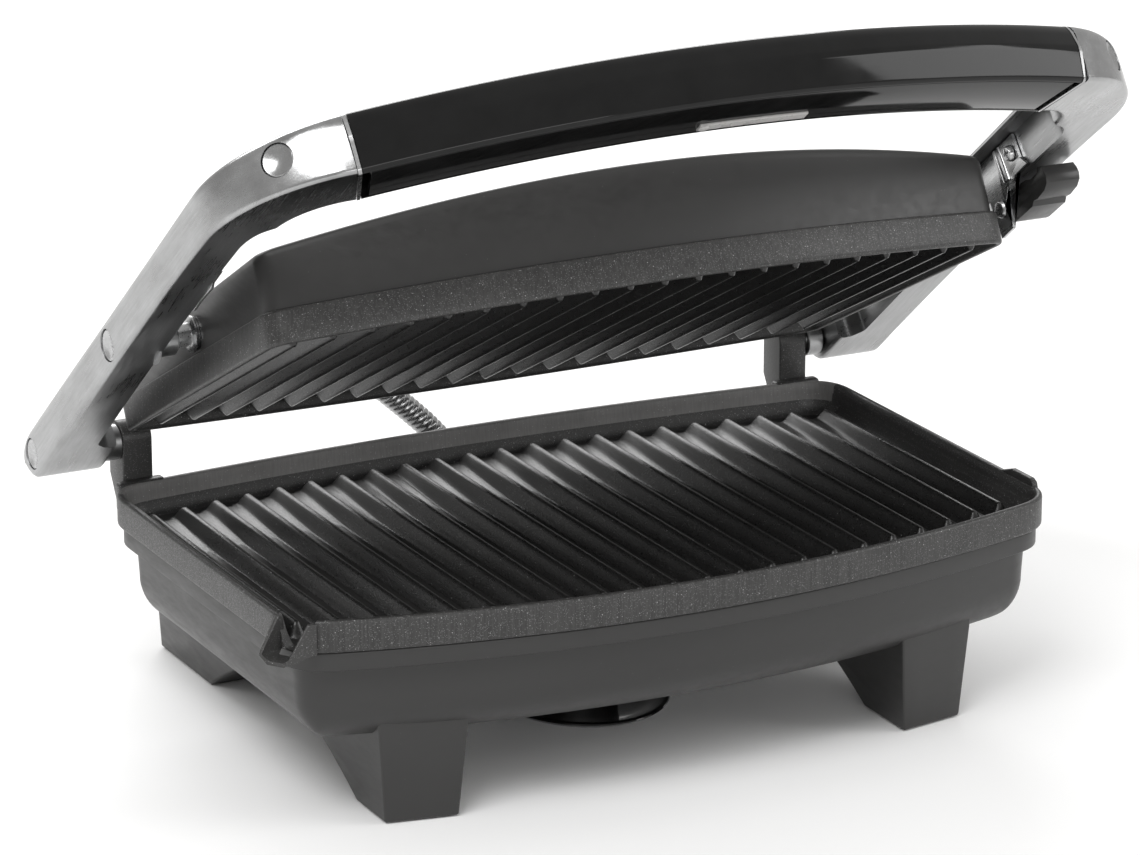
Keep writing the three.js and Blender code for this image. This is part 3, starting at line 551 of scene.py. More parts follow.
def grill_floor(plan, inset, count, ends, direction, floor_z, rise=0.0):
    """Floor and ribs as one surface; direction is +1 where the ribs stand up.

    The floor between the ribs climbs by `rise` towards their rear ends."""
    border = outline(plan, inset, steps=120, bend=24)
    half = plan["half"] - inset
    front_side = border[border[:, 1] < (plan["front"] + plan["rear"]) / 2]
    rear_side = border[border[:, 1] >= (plan["front"] + plan["rear"]) / 2]
    front_side = front_side[np.argsort(front_side[:, 0])]
    rear_side = rear_side[np.argsort(rear_side[:, 0])]
    offsets = [0, 0.35, 0.7, 1.05, 1.5, 2.2, 2.9, 3.5, 3.9, 4.4, 5.0]
    crests = [(i - (count + 1) / 2) * RIB_PITCH for i in range(1, count + 1)]
    xs = {round(c + s * o, 3) for c in crests for o in offsets for s in (-1, 1)}
    xs |= {round(c + RIB_PITCH / 2, 3) for c in crests[:-1]}
    xs |= {round(v, 3) for v in np.linspace(-half, half, 61) if abs(v) > abs(crests[0]) + 5.2}
    xs = np.array(sorted(v for v in xs if abs(v) <= half))
    front_y = np.interp(xs, front_side[:, 0], front_side[:, 1])
    rear_y = np.interp(xs, rear_side[:, 0], rear_side[:, 1])
    start, stop = ends(xs)
    near = [-1, 0.0, 0.35, 0.8, 1.3, 1.9, 2.6, 3.4, 4.4, 6]
    rows_ = [front_y, (front_y + start) / 2]
    rows_ += [start + d for d in near]
    rows_ += [start + (stop - start) * t for t in np.linspace(0.08, 0.92, 10)]
    rows_ += [stop - d for d in near[::-1]]
    rows_ += [(rear_y + stop) / 2, rear_y]
    grid_y = np.array([np.clip(r, front_y, rear_y) for r in rows_])
    grid_y = np.maximum.accumulate(grid_y, axis=0)
    grid_x = np.broadcast_to(xs, grid_y.shape)
    nearest = np.array(crests)[np.argmin(np.abs(xs[:, None] - np.array(crests)), axis=1)]
    rib_start, rib_stop = ends(nearest)
    run = 2.6
    beyond = np.maximum(np.maximum(rib_start + run - grid_y, grid_y - (rib_stop - run)), 0)
    reach = np.hypot(grid_x - nearest, beyond * 3.6 / run)
    height = np.clip(rib_profile(reach), 0, 1) * RIB_HEIGHT
    climb = np.clip((grid_y - (rib_stop - 44)) / 42, 0, 1)
    fall = np.clip((rib_stop + 1.5 - grid_y) / 3.5, 0, 1)
    lift = rise * climb ** 2 * (3 - 2 * climb) * fall ** 2 * (3 - 2 * fall)
    grid_z = floor_z + direction * (lift + height * (1 - lift / RIB_HEIGHT))
    lines, columns = grid_y.shape
    points = np.column_stack([grid_x.ravel(), grid_y.ravel(), grid_z.ravel()])
    faces = []
    for i in range(lines - 1):
        for j in range(columns - 1):
            a = i * columns + j
            quad = (a, a + 1, a + columns + 1, a + columns)
            tall = max(grid_y[i + 1, j] - grid_y[i, j], grid_y[i + 1, j + 1] - grid_y[i, j + 1])
            if tall > 1e-4:
                faces.append(quad)
    return points, faces


def lower_ends(x):
    u = x / 100
    return 11.52 * u * u + 0.474 * u ** 4, 158 - 7.585 * u * u + 0.224 * u ** 4


def upper_ends(x):
    u = x / 100
    return -158.8 + 10.8 * u * u, -4.5 - 4.2 * u * u


def build_lower_plate():
    fine = dict(steps=60, bend=56)
    skirt = [(1.4, -4.6), (0.5, -4.4), (0.1, -3.9), (0, -3.2), (0, 2), (0, 5.2), (0.12, 5.75),
             (0.45, 6.15), (0.9, 6.36)]
    wall = [(1.5, 6.4), (2.05, 6.25), (2.5, 5.8), (2.75, 5.2), (2.95, 3), (3.4, 0), (3.9, -2),
            (4.7, -3.9), (5.7, -5.0), (6.9, -5.5), (7.6, -5.6)]
    rings = []
    for inset, z in skirt + wall:
        ring = level(LOWER, inset, z, **fine)
        across = np.abs((ring[:, :2] - SPOUT_AT) @ SPOUT_ALONG)
        limit = np.interp(across, [0, 2.9, 3.5, 7.0, 7.4], [-4.4, -4.4, -3.5, 5.9, 30])
        near_spout = (ring[:, 0] < -120) & (ring[:, 1] < 30)
        ring[:, 2] = np.where(near_spout, np.minimum(ring[:, 2], limit), ring[:, 2])
        rings.append(ring)
    points, faces = loft(rings, caps=False)
    count = len(rings[0])
    middles = [np.mean([points[k] for k in face], axis=0) for face in faces]
    # Rear wall faces above -0.6 mm take the pale band coat, which is painted light on the rear
    # wall's inner face.
    picks = [0 if i < (len(skirt) - 1) * count else (3 if m[1] > 150 and m[2] > -0.6 else 1)
             for i, m in enumerate(middles)]
    floor = grill_floor(LOWER, 6.6, LOWER_RIBS, lower_ends, 1, -RIB_HEIGHT, 2.2)
    picks += [2] * len(floor[1])
    points, faces = merged((points, faces), floor)
    looks = [COAT_SKIRT, COAT_WALL, COAT_FLOOR, COAT_PAINTED_LIGHT_BAND]
    piece("lower_plate_cast", points, faces, "base", "speckled_coat", looks,
          ("lower_plate",), 40, picks)
    for side, word in ((-1, "left"), (1, "right")):
        build_hinge_tab(side, word)
    build_spout()
    build_latch_catch()


def build_hinge_tab(side, word):
    profile = [(162.3, RIM_TOP - 6)]
    for k in range(25):
        t = math.pi - math.pi * k / 24
        profile.append((168.6 + 6.3 * math.cos(t), 20 + 6.3 * math.sin(t)))
    profile += [(174.9, RIM_TOP), (168.5, SKIRT_BOTTOM), (158, SKIRT_BOTTOM)]
    ring = [[(side * x, y, z) for y, z in profile] for x in (122.8, 133.8)]
    obj = rough_piece(f"hinge_tab_{word}", *loft(ring), [COAT_WALL])
    bevelled(obj, 0.7, 3, 35)
    dress(obj, "base")
    foot = [[(side * x, y, z) for x, y in ((119.6, 159.0), (137.0, 157.6), (137.0, 162.2),
                                            (119.6, 163.6))]
            for z in (SKIRT_BOTTOM + 1, RIM_TOP + 0.5)]
    root = rough_piece(f"hinge_tab_root_{word}", *loft(foot), [COAT_WALL])
    bevelled(root, 1.2, 3, 35)
    dress(root, "base")


def hull(points):
    """Points and faces of the convex hull of some points."""
    work = bmesh.new()
    for point in points:
        work.verts.new(point)
    made = bmesh.ops.convex_hull(work, input=work.verts)
    loose = [g for g in made["geom_interior"] if isinstance(g, bmesh.types.BMVert)]
    bmesh.ops.delete(work, geom=loose, context="VERTS")
    bmesh.ops.dissolve_limit(work, angle_limit=math.radians(1), verts=work.verts,
                             edges=work.edges)
    work.verts.index_update()
    result = ([tuple(v.co) for v in work.verts], [[v.index for v in f.verts] for f in work.faces])
    work.free()
    return result


def build_spout():
    """Notch in the front left corner of the rim with a flared lip outside it."""
    mouth = [(-142, 15.5, 6.2), (-150.3, 10.8, -4.2), (-149.3, 6.4, -6.4), (-145.8, 1.2, -6.4),
             (-143.9, 1.0, -4.2), (-136.5, 1.8, 6.2)]
    root = [(-141.4, 18.5, 5.6), (-141.4, 17, SKIRT_BOTTOM), (-138.6, 9, SKIRT_BOTTOM),
            (-133.5, 2.6, SKIRT_BOTTOM), (-133.5, 2.6, 5.8), (-138, 12, 0)]
    inside = [(-135.6, 17, 9), (-135.6, 16, -5.3), (-130, 6.6, 9), (-131, 7.4, -5.3)]
    outside = [(-143.2, 13.8, 9), (-151.8, 9, -3.8), (-151, 5.4, -5.2), (-147.6, 1.2, -5.2),
               (-146, 0.6, -3.8), (-139.4, 1, 9)]
    lip = rough_piece("grease_spout", *hull(mouth + root), [COAT_WALL])
    cut(lip, hull(inside + outside))
    bevelled(lip, 0.45, 3, 28)
    dress(lip, "base")


def build_latch_catch():
    """Raised stretch of rim on the right with a lug outside it."""
    rim = [(37.6, RIM_TOP - 1.2), (37.6, RIM_TOP - 0.1), (30.6, 8.7), (19, 8.7), (17, 7.8),
           (16, RIM_TOP - 1.2)]
    lug = [(33, 1.8), (33, 6.2), (23, 6.2), (21.8, 5.2), (22.4, 3.6)]
    for name, profile, x0, x1, soft in (("latch_catch_rim", rim, 139.8, 141.95, 0.7),
                                        ("latch_catch_lug", lug, 141.6, 145.2, 0.6)):
        obj = rough_piece(name, *loft([[(x, y, z) for y, z in profile] for x in (x0, x1)]),
                          [COAT_WALL])
        bevelled(obj, soft, 4, 20)
        dress(obj, "base")


def build_upper_plate():
    fine = dict(steps=60, bend=14)
    skirt = [(1.6, 11.1), (0.5, 11.2), (0.12, 10.9), (0, 10.3), (0, 5), (0, 1.4), (0.15, 0.7),
             (0.5, 0.2), (0.9, 0.02)]
    wall = [(1.5, 0.0), (2.0, 0.15), (2.5, 0.6), (2.8, 1.3), (3.2, 2.6), (3.9, 4.2), (4.9, 5.2),
            (6.0, 5.5), (6.6, 5.6)]
    rings = [level(UPPER, inset, z, **fine) for inset, z in skirt + wall]
    points, faces = loft(rings, caps=False)
    picks = [0 if i < (len(skirt) - 1) * len(rings[0]) else 1 for i in range(len(faces))]
    floor = grill_floor(UPPER, 5.8, UPPER_RIBS, upper_ends, -1, RIB_HEIGHT)
    picks += [2] * len(floor[1])
    points, faces = merged((points, faces), floor)
    piece("upper_plate_cast", head_at(points), faces, "head", "speckled_coat",
          [COAT_SKIRT, COAT_WALL, COAT_GRILL], ("upper_plate",), 40, picks)
    for side, word in ((-1, "left"), (1, "right")):
        turn = [(-HEAD_PIVOT_BACK + 6.2 * math.sin(t), HEAD_PIVOT_UP + 6.2 * math.cos(t))
                for t in np.linspace(-math.pi / 2, math.pi / 2, 17)]
        ring = turn + [(-HEAD_PIVOT_BACK + 6.2, 10.6), (-HEAD_PIVOT_BACK - 6.2, 10.6)]
        ear = loft([[(side * x, y, z) for y, z in ring] for x in (125.6, 129.9)])
        obj = rough_piece(f"pivot_ear_{word}", head_at(ear[0]), ear[1], [COAT_WALL])
        bevelled(obj, 0.5, 2, 35)
        dress(obj, "head")


# ---- Housings ---------------------------------------------------------------
def build_lower_housing():
    band = [(6.5, -5.2), (3.4, -4.95), (2.4, -5.0), (2.08, -5.3), (2, -5.8), (2, -10.7),
            (2.15, -11.2), (2.6, -11.45), (3.2, -11.5), (6.2, -11.5)]
    tub = [(6.3, -11.0), (6.42, -13), (6.7, -17), (7, -22)]
    bend, turns = 17, 16
    for k in range(1, turns + 1):
        t = k / turns * math.pi / 2
        tub.append((7 + bend * (1 - math.cos(t)), TUB_BOTTOM + bend * (1 - math.sin(t))))
    tub.append((60, TUB_BOTTOM))
    parts = [loft([level(LOWER, i, z) for i, z in rows_]) for rows_ in (band, tub)]
    points, faces = merged(*parts)
    piece("lower_housing_shell", points, faces, "base", "housing_plastic", [HOUSING],
          ("lower_housing",), 38)
    for side, word in ((-1, "left"), (1, "right")):
        build_rail(side, word)
    stem = lathe((WRAP_X, WRAP_Y, 0), (0, 0, 1), [(-55.7, 0.5), (-55.7, 14.4), (-55.1, 15),
                                                  (-42, 15), (-40.6, 16.2), (-39.4, 19)])
    piece("wrap_stem", *stem, "base", "housing_plastic", [HOUSING])


def build_rail(side, word):
    """Front leg, arch and rear leg with its heel, all one moulding."""
    foot = -FLOOR_DROP + 0.4
    profile = [(3, -14), (6.5, foot), (31, foot)]
    middle, half, top = 91.5, 60.5, -45.5
    for k in range(1, 40):
        y = -half + 2 * half * k / 40
        profile.append((middle + y, top - (top - foot) * (abs(y) / half) ** 1.7))
    profile += [(152, foot), (REAR_HEEL, foot), (195, -44), (191, -33), (182, -24), (168, -18),
                (158, -14)]
    rings = []
    for across in (-0.5, -0.25, 0, 0.25, 0.5):
        ring = []
        for y, z in profile:
            share = min(max((-14 - z) / (FLOOR_DROP - 14), 0), 1)
            x = 95.6 + across * (33 - 8.6 * share)
            bow = (x - 95.6) * 0.18 if y < 20 else 0
            ring.append((side * x, y + bow, z))
        rings.append(ring)
    obj = rough_piece(f"leg_rail_{word}", *loft(rings), [HOUSING])
    bevelled(obj, 0.9, 4, 40)
    dress(obj, "base", (), 38)


def dome_height(x, y):
    ahead = np.clip(-y / 165, 0, 1)
    crown = 8.2 * (1 - (x / 133) ** 2)
    return 24 + (7.6 + crown) * ahead ** 0.8 + crown * 0.25 * (1 - ahead)


def build_upper_housing():
    foot = outline(UPPER, 1.8, steps=60, bend=14)
    middle_y = -82
    scales = [(1, 0), (1, 0.5), (0.9995, 0.86), (0.998, 0.925), (0.9945, 0.965), (0.989, 0.988),
              (0.982, 0.997), (0.972, 1.0)]
    scales += [(k, 1.0) for k in (0.95, 0.85, 0.72, 0.58, 0.44, 0.3, 0.16, 0.04)]
    rings = [np.column_stack([foot, np.full(len(foot), 11.5)])]
    for k, share in scales[1:]:
        px = foot[:, 0] * k
        py = middle_y + (foot[:, 1] - middle_y) * k
        rings.append(np.column_stack([px, py, 11.5 + (dome_height(px, py) - 11.5) * share]))
    under = outline(UPPER, 6, steps=60, bend=14)
    rings.insert(0, np.column_stack([under, np.full(len(foot), 11.6)]))
    points, faces = loft(rings)
    piece("upper_housing_shell", head_at(points), faces, "head", "housing_plastic", [HOUSING],
          ("upper_housing",), 38)


# ---- Arms -------------------------------------------------------------------
def arm_stations():
    rows_ = [(-8.3, -0.6, 0.6), (-8.1, -1.9, 2.3), (-7.6, -3.4, 3.8), (-6.8, -4.8, 5.1),
             (-5.6, -6.1, 6.3), (-4, -7.2, 7.2), (-2, -7.8, 7.9), (0, -8, 8.2), (4, -7.95, 8.35),
             (9, -7.8, 8.4), (14, -7.6, 8.4), (32, -7.3, 8.4), (50, -7, 8.4), (70, -6.85, 8.3),
             (92, -6.7, 8.2), (120, -6.7, 8.2), (150, -6.8, 8.2), (165, -7.1, 8.3),
             (178, -7.5, 8.4), (CORNER_S, -8, 8.5)]
    mid = (ARM_OUTER + ARM_INNER) / 2
    stations = [(mid, s, 0.0, low, high) for s, low, high in rows_]
    for k in range(1, 25):
        t = GRIP_END * k / 24
        stations.append((CORNER_X + CORNER_R * math.cos(t), CORNER_S + CORNER_R * math.sin(t), t,
                         -8 - 3.4 * k / 24, 8.5 + 0.7 * k / 24))
    return stations


def arm_prism(side, plan, low, high):
    return loft([[arm_at(side, x, s, n) for x, s in plan] for n in (low, high)])


def build_arm(side, word):
    half = (ARM_OUTER - ARM_INNER) / 2
    rings = []
    for x, s, turn, low, high in arm_stations():
        tall = high - low
        soft = min(5.0, tall * 0.42)
        crisp = min(1.7, tall * 0.3)
        mid = low + tall * 0.42
        section = [(half, high), (-half, high), (-half, low), (half - 0.5, low), (half, mid)]
        section = rounded(section, [soft, crisp, crisp, crisp, tall * 0.25], 6)
        rings.append([arm_at(side, x + c * math.cos(turn), s + c * math.sin(turn), n)
                      for c, n in section])
    arm = rough_piece(f"arm_{word}_cast", *loft(rings), [ARM_ALLOY])
    pocket = [(136, 16), (WEB_X - 4, 16), (WEB_X, 20), (WEB_X, 180), (148.4, 184.5), (147.2, 188),
              (145.2, 191), (142, 193.6), (136, 196)]
    cut(arm, arm_prism(side, rounded(pocket, 1.6, 3), -16, FLANGE_N))
    dishes = [(arm_at(side, 163.2, s, 0), arm_at(side, 170, s, 0)) for s in (0, PIVOT_REACH)]
    dishes.append(corner_axis(side, 1.9))
    for inner, out in dishes:
        axis = Vector(out) - Vector(inner)
        cut(arm, lathe(inner, axis, [(0, 5.35), (axis.length, 5.9)], 48))
    dress(arm, "lid_frame", (f"arm_{word}",), 34)
    boss_from, boss_to = arm_at(side, 142, PIVOT_REACH, 0), arm_at(side, 149.2, PIVOT_REACH, 0)
    boss = [(0, 4.5), (0, 5.5), (0.6, 6.2), (6.2, 6.2), (7.0, 7.4), (7.2, 8.4)]
    piece(f"pivot_boss_{word}", *lathe(boss_from, Vector(boss_to) - Vector(boss_from), boss, 40),
          "lid_frame", "cast_alloy", [ARM_ALLOY], (), 34)
    names = ("hinge_cap", "pivot_cap", "grip_cap")
    for (inner, out), name in zip(dishes, names):
        axis = Vector(out) - Vector(inner)
        profile = [(0.02, 5.25), (0.75, 5.3), (1.15, 5.15), (1.3, 4.85), (1.2, 4.5)]
        profile += [(0.35 + 0.85 * (r / 4.5) ** 2, r) for r in (4.0, 3.3, 2.5, 1.6, 0.7, 0.15)]
        look = ARM_ALLOY if name == "grip_cap" else HEAD_STEEL
        piece(f"{name}_{word}_dished", *lathe(inner, axis, profile, 48), "lid_frame",
              "cast_alloy" if name == "grip_cap" else "bright_steel", [look],
              (f"{name}_{word}",), 40)


def corner_axis(side, depth):
    turn = math.radians(46)

    def at(radius):
        return arm_at(side, CORNER_X + radius * math.cos(turn),
                      CORNER_S + radius * math.sin(turn), 0.6)
    return at(50 - depth), at(56)


# ---- Grip -------------------------------------------------------------------
def grip_stations(start, stop, count):
    end_x = CORNER_X + CORNER_R * math.cos(GRIP_END)
    end_s = CORNER_S + CORNER_R * math.sin(GRIP_END)
    radius = (end_x ** 2 + GRIP_BOW ** 2) / (2 * GRIP_BOW)
    span = math.asin(end_x / radius)
    for i in range(count + 1):
        t = span * (start + (stop - start) * i / count)
        yield radius * math.sin(t), end_s + GRIP_BOW - radius * (1 - math.cos(t)), t


def grip_loft(start, stop, count, section):
    return loft([[arm_at(1, x + c * math.sin(t), s + c * math.cos(t), n) for c, n in section]
                 for x, s, t in grip_stations(start, stop, count)])


GRIP_OUTER = [(-12.2, -11.2), (-12.8, -10), (-12.6, 5.6), (-11.6, 8.2), (-9, 9.3), (7.6, 9.4),
              (10.2, 8.6), (11.6, 6), (12.7, 0.2), (12.6, -1.6), (10.6, -10.6), (9.4, -11.4)]


def build_grip():
    outer = rounded(GRIP_OUTER, [0.4, 0.8, 2, 2, 2, 2, 2, 2, 0.5, 0.5, 0.9, 0.4], 3)
    inner = [(8.8, -11.3), (8.8, -9), (8, -9), (8, 6.4), (-10, 6.4), (-10, -9), (-11.2, -9),
             (-11.2, -11.1)]
    section = outer + inner
    shell = grip_loft(-0.986, 0.986, 96, section)
    piece("grip_shell_gloss", *shell, "lid_frame", "grip_gloss", [GLOSS], ("grip_shell",), 16)
    sole = rounded([(-10.9, -11.2), (8.5, -11.3), (8.5, -9.3), (-10.9, -9.3)], 0.3, 2)
    piece("grip_sole", *grip_loft(-0.966, 0.966, 72, sole), "lid_frame", "grip_gloss", [GLOSS],
          ("grip_base",), 30)
    strip = rounded([(-9.5, -11.9), (-5.5, -11.9), (-5.5, -10.7), (-9.5, -10.7)], 0.5, 3)
    piece("grip_strip", *grip_loft(-0.112, 0.192, 24, strip), "lid_frame", "inlay", [INLAY],
          ("grip_inlay",), 40)
    x, s, _ = list(grip_stations(-0.097, -0.09, 1))[0]
    knob = lathe(arm_at(1, x, s - 7.5, -11.7),
                 Vector(arm_at(1, 0, 0, -1)) - Vector(arm_at(1, 0, 0, 0)),
                 [(0, 1.9), (0.4, 1.85), (0.7, 1.4), (0.85, 0.7), (0.88, 0.1)], 32)
    piece("grip_strip_knob", *knob, "lid_frame", "inlay", [INLAY])
    for side, word in ((-1, "left"), (1, "right")):
        ring = [(c * 1.008, n * 1.008) for c, n in outer]
        collar = grip_loft(side * 0.9885, side * 0.9975, 2, ring)
        piece(f"grip_collar_{word}_polished", *collar, "lid_frame", "bright_steel",
              [HEAD_STEEL], (f"grip_collar_{word}",), 30)


# ---- Turned and small parts -------------------------------------------------
def build_hinge(side, word):
    origin = (side * 134.2, HINGE_Y, HINGE_Z)
    out = (side, 0, 0)
    bush = [(0, 4.4), (0, 5.8), (0.35, 6.2), (5.65, 6.2), (6, 5.8), (6, 4.4)]
    piece(f"hinge_bush_{word}_turned", *lathe(origin, out, bush), "lid_frame", "cast_alloy",
          [ARM_ALLOY], (f"hinge_bush_{word}",), 30)
    pin = [(0, 0.1), (0, 3.3), (0.7, 4.0), (37.2, 4.0), (37.2, 0.1)]
    piece(f"hinge_pin_{word}_turned",
          *lathe((side * 123.4, HINGE_Y, HINGE_Z), out, [(h * 0.995, r) for h, r in pin]),
          "base", "bright_steel", [HEAD_STEEL], (f"hinge_pin_{word}",), 30)
    _, y, z = arm_at(side, 0, PIVOT_REACH, 0)
    rings = [(0, 0.1), (0, 5.6), (0.4, 6.0), (1.2, 6.0), (1.5, 5.2), (1.6, 4.0), (11.0, 4.0)]
    for k in range(3):
        base = 11.1 + k * 0.95
        rings += [(base, 4.6), (base + 0.12, 5.6 + 0.3 * k), (base + 0.7, 5.6 + 0.3 * k),
                  (base + 0.82, 4.6)]
    rings += [(14.2, 4.0), (38.1, 4.0), (38.1, 0.1)]
    piece(f"pivot_pin_{word}_turned", *lathe((side * 122.5, y, z), out, rings), "lid_frame",
          "bright_steel", [HEAD_STEEL], (f"pivot_pin_{word}",), 30)


def build_disc():
    rim = WRAP_HALF
    profile = [(0, 0.1), (0, 14), (0.4, rim - 9), (0.9, rim - 6), (2.0, rim - 2), (2.7, rim - 0.9),
               (3.5, rim), (3.95, rim - 0.15), (4.25, rim - 0.8), (4.2, rim - 1.5),
               (3.5, rim - 4.5), (2.9, rim - 8), (2.6, 14), (2.6, 0.1)]
    points, faces = lathe((0, 0, WRAP_BOTTOM), (0, 0, 1), profile, 128)
    points = [(WRAP_X + x, WRAP_Y + y * WRAP_STRETCH, z) for x, y, z in points]
    piece("wrap_disc_gloss", points, faces, "base", "grip_gloss", [GLOSS], ("wrap_disc",), 45)


def conduit_points():
    out = [tuple(head_at([(-42, y, 18.5)])[0]) for y in (-8, -3, 2, 7)]
    return out + [(-38.5, 179.5, 31), (-26, 182.5, 18.5), (-11, 182.5, 4.5), (0, 181, -9),
                  (4.4, 175.5, -19.5), (5, 168, -22), (5, 163, -22), (5, 157, -22)]


def smooth_path(points, per_mm=6):
    """Catmull-Rom through the points, resampled evenly."""
    p = [np.array(q, float) for q in points]
    p = [2 * p[0] - p[1]] + p + [2 * p[-1] - p[-2]]
    dense = []
    for i in range(1, len(p) - 2):
        knots = [0.0]
        for k in range(3):
            knots.append(knots[-1] + np.linalg.norm(p[i + k] - p[i + k - 1]) ** 0.5)
        for t in np.linspace(knots[1], knots[2], 40, endpoint=False):
            layer = [p[i - 1], p[i], p[i + 1], p[i + 2]]
            for depth in (1, 2, 3):
                layer = [((knots[j + depth] - t) * layer[j] + (t - knots[j]) * layer[j + 1])
                         / (knots[j + depth] - knots[j]) for j in range(4 - depth)]
            dense.append(layer[0])
    dense.append(p[-2])
    dense = np.array(dense)
    run = np.concatenate([[0], np.cumsum(np.linalg.norm(np.diff(dense, axis=0), axis=1))])
    even = np.linspace(0, run[-1], int(run[-1] * per_mm))
    return np.column_stack([np.interp(even, run, dense[:, k]) for k in range(3)]), even


def build_conduit():
    """Spiral-wound metal hose in two pieces, each taken off its body and fixed where it lies."""
    line, run = smooth_path(conduit_points())
    tangent = np.gradient(line, axis=0)
    tangent /= np.linalg.norm(tangent, axis=1)[:, None]
    side = np.cross(tangent[0], (1, 0, 0))
    side /= np.linalg.norm(side)
    count = 28
    rings = []
    for i, centre in enumerate(line):
        side = side - tangent[i] * side.dot(tangent[i])
        side /= np.linalg.norm(side)
        other = np.cross(tangent[i], side)
        turn = np.linspace(0, 2 * math.pi, count, endpoint=False)
        phase = (run[i] / HOSE_WINDING + turn / (2 * math.pi)) % 1
        lift = HOSE_EDGE * np.clip(np.sin(phase * math.pi), 0, 1) ** 0.6
        radius = HOSE_R + lift
        rings.append(centre + radius[:, None] * (np.cos(turn)[:, None] * side
                                                 + np.sin(turn)[:, None] * other))
    split = int(np.argmin(np.linalg.norm(line - HOSE_SPLIT, axis=1)))
    low = piece("conduit_low", *loft(rings[split:]), "base", "sheet_metal", [HEAD_STEEL],
                ("conduit",), 60)
    high = piece("conduit_high", *loft(rings[:split + 1]), "head", "sheet_metal", [HEAD_STEEL],
                 ("conduit",), 60)
    middle = row([line[split]])[0]
    for obj, a, b, start, end in (
            (low, "base", "lid_frame", row([HOSE_LOW])[0], middle),
            (high, "lid_frame", "head", middle, row(head_at([HOSE_HIGH]))[0])):
        world = obj.matrix_world.copy()
        obj.parent = None
        obj.matrix_world = world
        del obj["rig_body"]
        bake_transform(obj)


def build_small_parts():
    for x, look, word in ((-LENS_X, LENS_RED, "power"), (LENS_X, LENS_GREEN, "ready")):
        top = float(dome_height(np.array(x), np.array(LENS_Y)))
        dome = [(-2, 0.1), (-2, 2.9), (0.7, 2.9), (1.1, 2.6), (1.35, 1.9), (1.48, 1.0),
                (1.5, 0.1)]
        points, faces = lathe((x, LENS_Y, top), (0, 0, 1), dome, 36)
        piece(f"{word}_lens_domed", head_at(points), faces, "head",
              "lens_red" if word == "power" else "lens_green", [look], (f"{word}_lens",), 40)
    for x in (-FOOT_X, FOOT_X):
        for y in FOOT_Y:
            word = f"{'front' if y < 90 else 'rear'}_{'left' if x < 0 else 'right'}"
            pad = [(0, 0.1), (0, 6.3), (0.25, 6.6), (1.6, 7), (1.6, 0.1)]
            piece(f"foot_pad_{word}_turned", *lathe((x, y, -FLOOR_DROP), (0, 0, 1), pad, 40),
                  "base", "foot_rubber", [RUBBER], (f"foot_pad_{word}",), 30)
    for node, body, slot_name, look, width in (
            ("arm_cover_left", "lid_frame", "sheet_metal", SHEET, 0.15),
            ("arm_cover_right", "lid_frame", "sheet_metal", SHEET, 0.15),
            ("cover_screw_left", "lid_frame", "bright_steel", HEAD_STEEL, 0.12),
            ("cover_screw_right", "lid_frame", "bright_steel", HEAD_STEEL, 0.12),
            ("latch_lever", "latch", "latch_plastic", LATCH, 0.6),
            ("latch_pin", "lid_frame", "bright_steel", HEAD_STEEL, 0.3)):
        refined(node, body, look, width)


NODE_LOOKS = {
    "housing_plastic": HOUSING, "speckled_coat": COAT_WALL, "cast_alloy": ARM_ALLOY,
    "bright_steel": HEAD_STEEL, "sheet_metal": SHEET, "grip_gloss": GLOSS, "inlay": INLAY,
    "foot_rubber": RUBBER, "latch_plastic": LATCH, "lens_red": LENS_RED,
    "lens_green": LENS_GREEN,
}


def paint_nodes():
    """Every CAD node gets its slot's procedural material."""
    for name in frame["nodes"]:
        obj = bpy.data.objects[name]
        slot_name = slot_of(name)
        for slot_ in obj.material_slots:
            slot_.material = NODE_LOOKS[slot_name]


def slot_of(name):
    steel = ("pin", "screw", "cap", "element", "fuse", "gland", "collar", "tie")
    if "lens" in name:
        return "lens_red" if "power" in name else "lens_green"
    if name.startswith("foot_pad") or name == "cord_inlet":
        return "foot_rubber"
    if "reflector" in name or "cover" in name or name == "conduit":
        return "sheet_metal"
    if any(word in name for word in steel):
        return "bright_steel"
    if name.endswith("_plate"):
        return "speckled_coat"
    if name in ("grip_shell", "grip_base", "wrap_disc"):
        return "grip_gloss"
    if name == "grip_inlay":
        return "inlay"
    if name.startswith("arm_") or "bush" in name:
        return "cast_alloy"
    if name == "latch_lever":
        return "latch_plastic"
    return "housing_plastic"


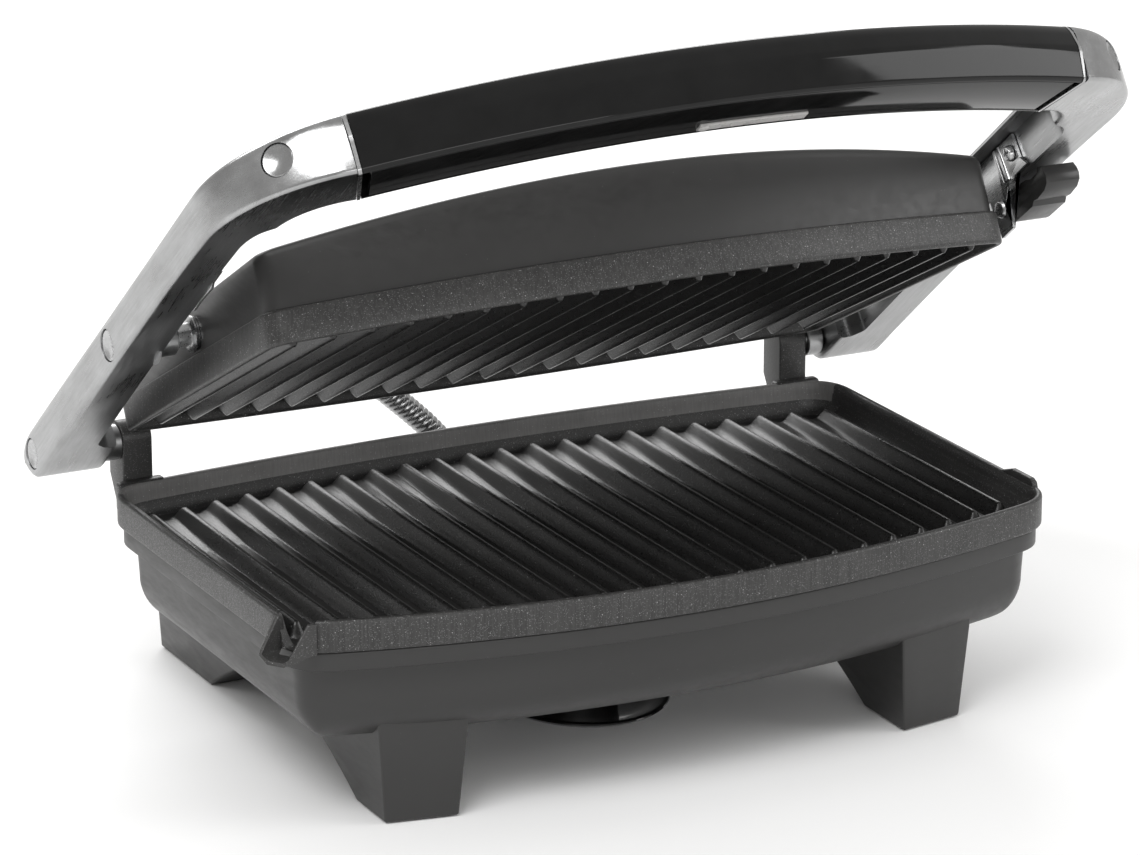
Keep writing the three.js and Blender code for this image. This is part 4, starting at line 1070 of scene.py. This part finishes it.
# ---- Studio -----------------------------------------------------------------
def build_studio():
    mesh = bpy.data.meshes.new("studio_floor")
    wide = 8.0
    mesh.from_pydata([(-wide, -wide, 0), (wide, -wide, 0), (wide, wide, 0), (-wide, wide, 0)],
                     [], [(0, 1, 2, 3)])
    floor = bpy.data.objects.new("studio_floor", mesh)
    bpy.context.scene.collection.objects.link(floor)
    look = Look("pale_floor", Metallic=0.0)
    cloud = look.noise(look.mapped((3, 3, 3)), detail=2)
    look.color(look.mix(look.span(cloud, 0.3, 0.7), grey(0.93), grey(0.96)))
    look.roughness(look.span(cloud, 0.3, 0.7, 0.7, 0.76))
    mesh.materials.append(look.mat)

    world = bpy.data.worlds.new("studio")
    bpy.context.scene.world = world
    world.use_nodes = True
    world.node_tree.nodes["Background"].inputs[0].default_value = (1.0, 0.992, 0.98, 1)
    world.node_tree.nodes["Background"].inputs[1].default_value = 0.62

    def softbox(name, place, target, wide, tall, watts, color=(1, 1, 1)):
        data = bpy.data.lights.new(name, "AREA")
        data.shape = "RECTANGLE"
        data.size, data.size_y = wide, tall
        data.energy = watts
        data.color = color
        lamp = bpy.data.objects.new(name, data)
        lamp.location = place
        lamp.rotation_euler = (Vector(target) - Vector(place)).to_track_quat("-Z", "Y").to_euler()
        bpy.context.scene.collection.objects.link(lamp)

    softbox("key", (-1.3, -0.9, 2.0), (0, 0, 0.1), 1.5, 1.1, 34)
    softbox("fill_right", (2.1, -1.3, 1.2), (0, 0, 0.12), 1.2, 1.2, 16)
    softbox("rear_strip", (0.3, 2.0, 1.3), (0, 0, 0.15), 2.2, 0.7, 30)
    softbox("front_low", (-0.2, -2.6, 0.7), (0, 0, 0.1), 1.6, 0.5, 9)


def build_camera():
    data = bpy.data.cameras.new("camera")
    data.lens = 160.2
    data.sensor_width = 36.0
    data.sensor_fit = "HORIZONTAL"
    data.clip_end = 50
    camera = bpy.data.objects.new("camera", data)
    camera.location = (-0.7454, -1.4504, 0.6167)
    ahead = Vector((0.4330, 0.8491, -0.3024))
    camera.rotation_euler = ahead.to_track_quat("-Z", "Y").to_euler()
    bpy.context.scene.collection.objects.link(camera)
    bpy.context.scene.camera = camera


bpy.context.scene.view_settings.view_transform = "Standard"
build_camera()
build_studio()
paint_nodes()
build_lower_plate()
build_upper_plate()
build_lower_housing()
build_upper_housing()
for side_, word_ in ((-1, "left"), (1, "right")):
    build_arm(side_, word_)
    build_hinge(side_, word_)
build_grip()
build_disc()
build_conduit()
build_small_parts()
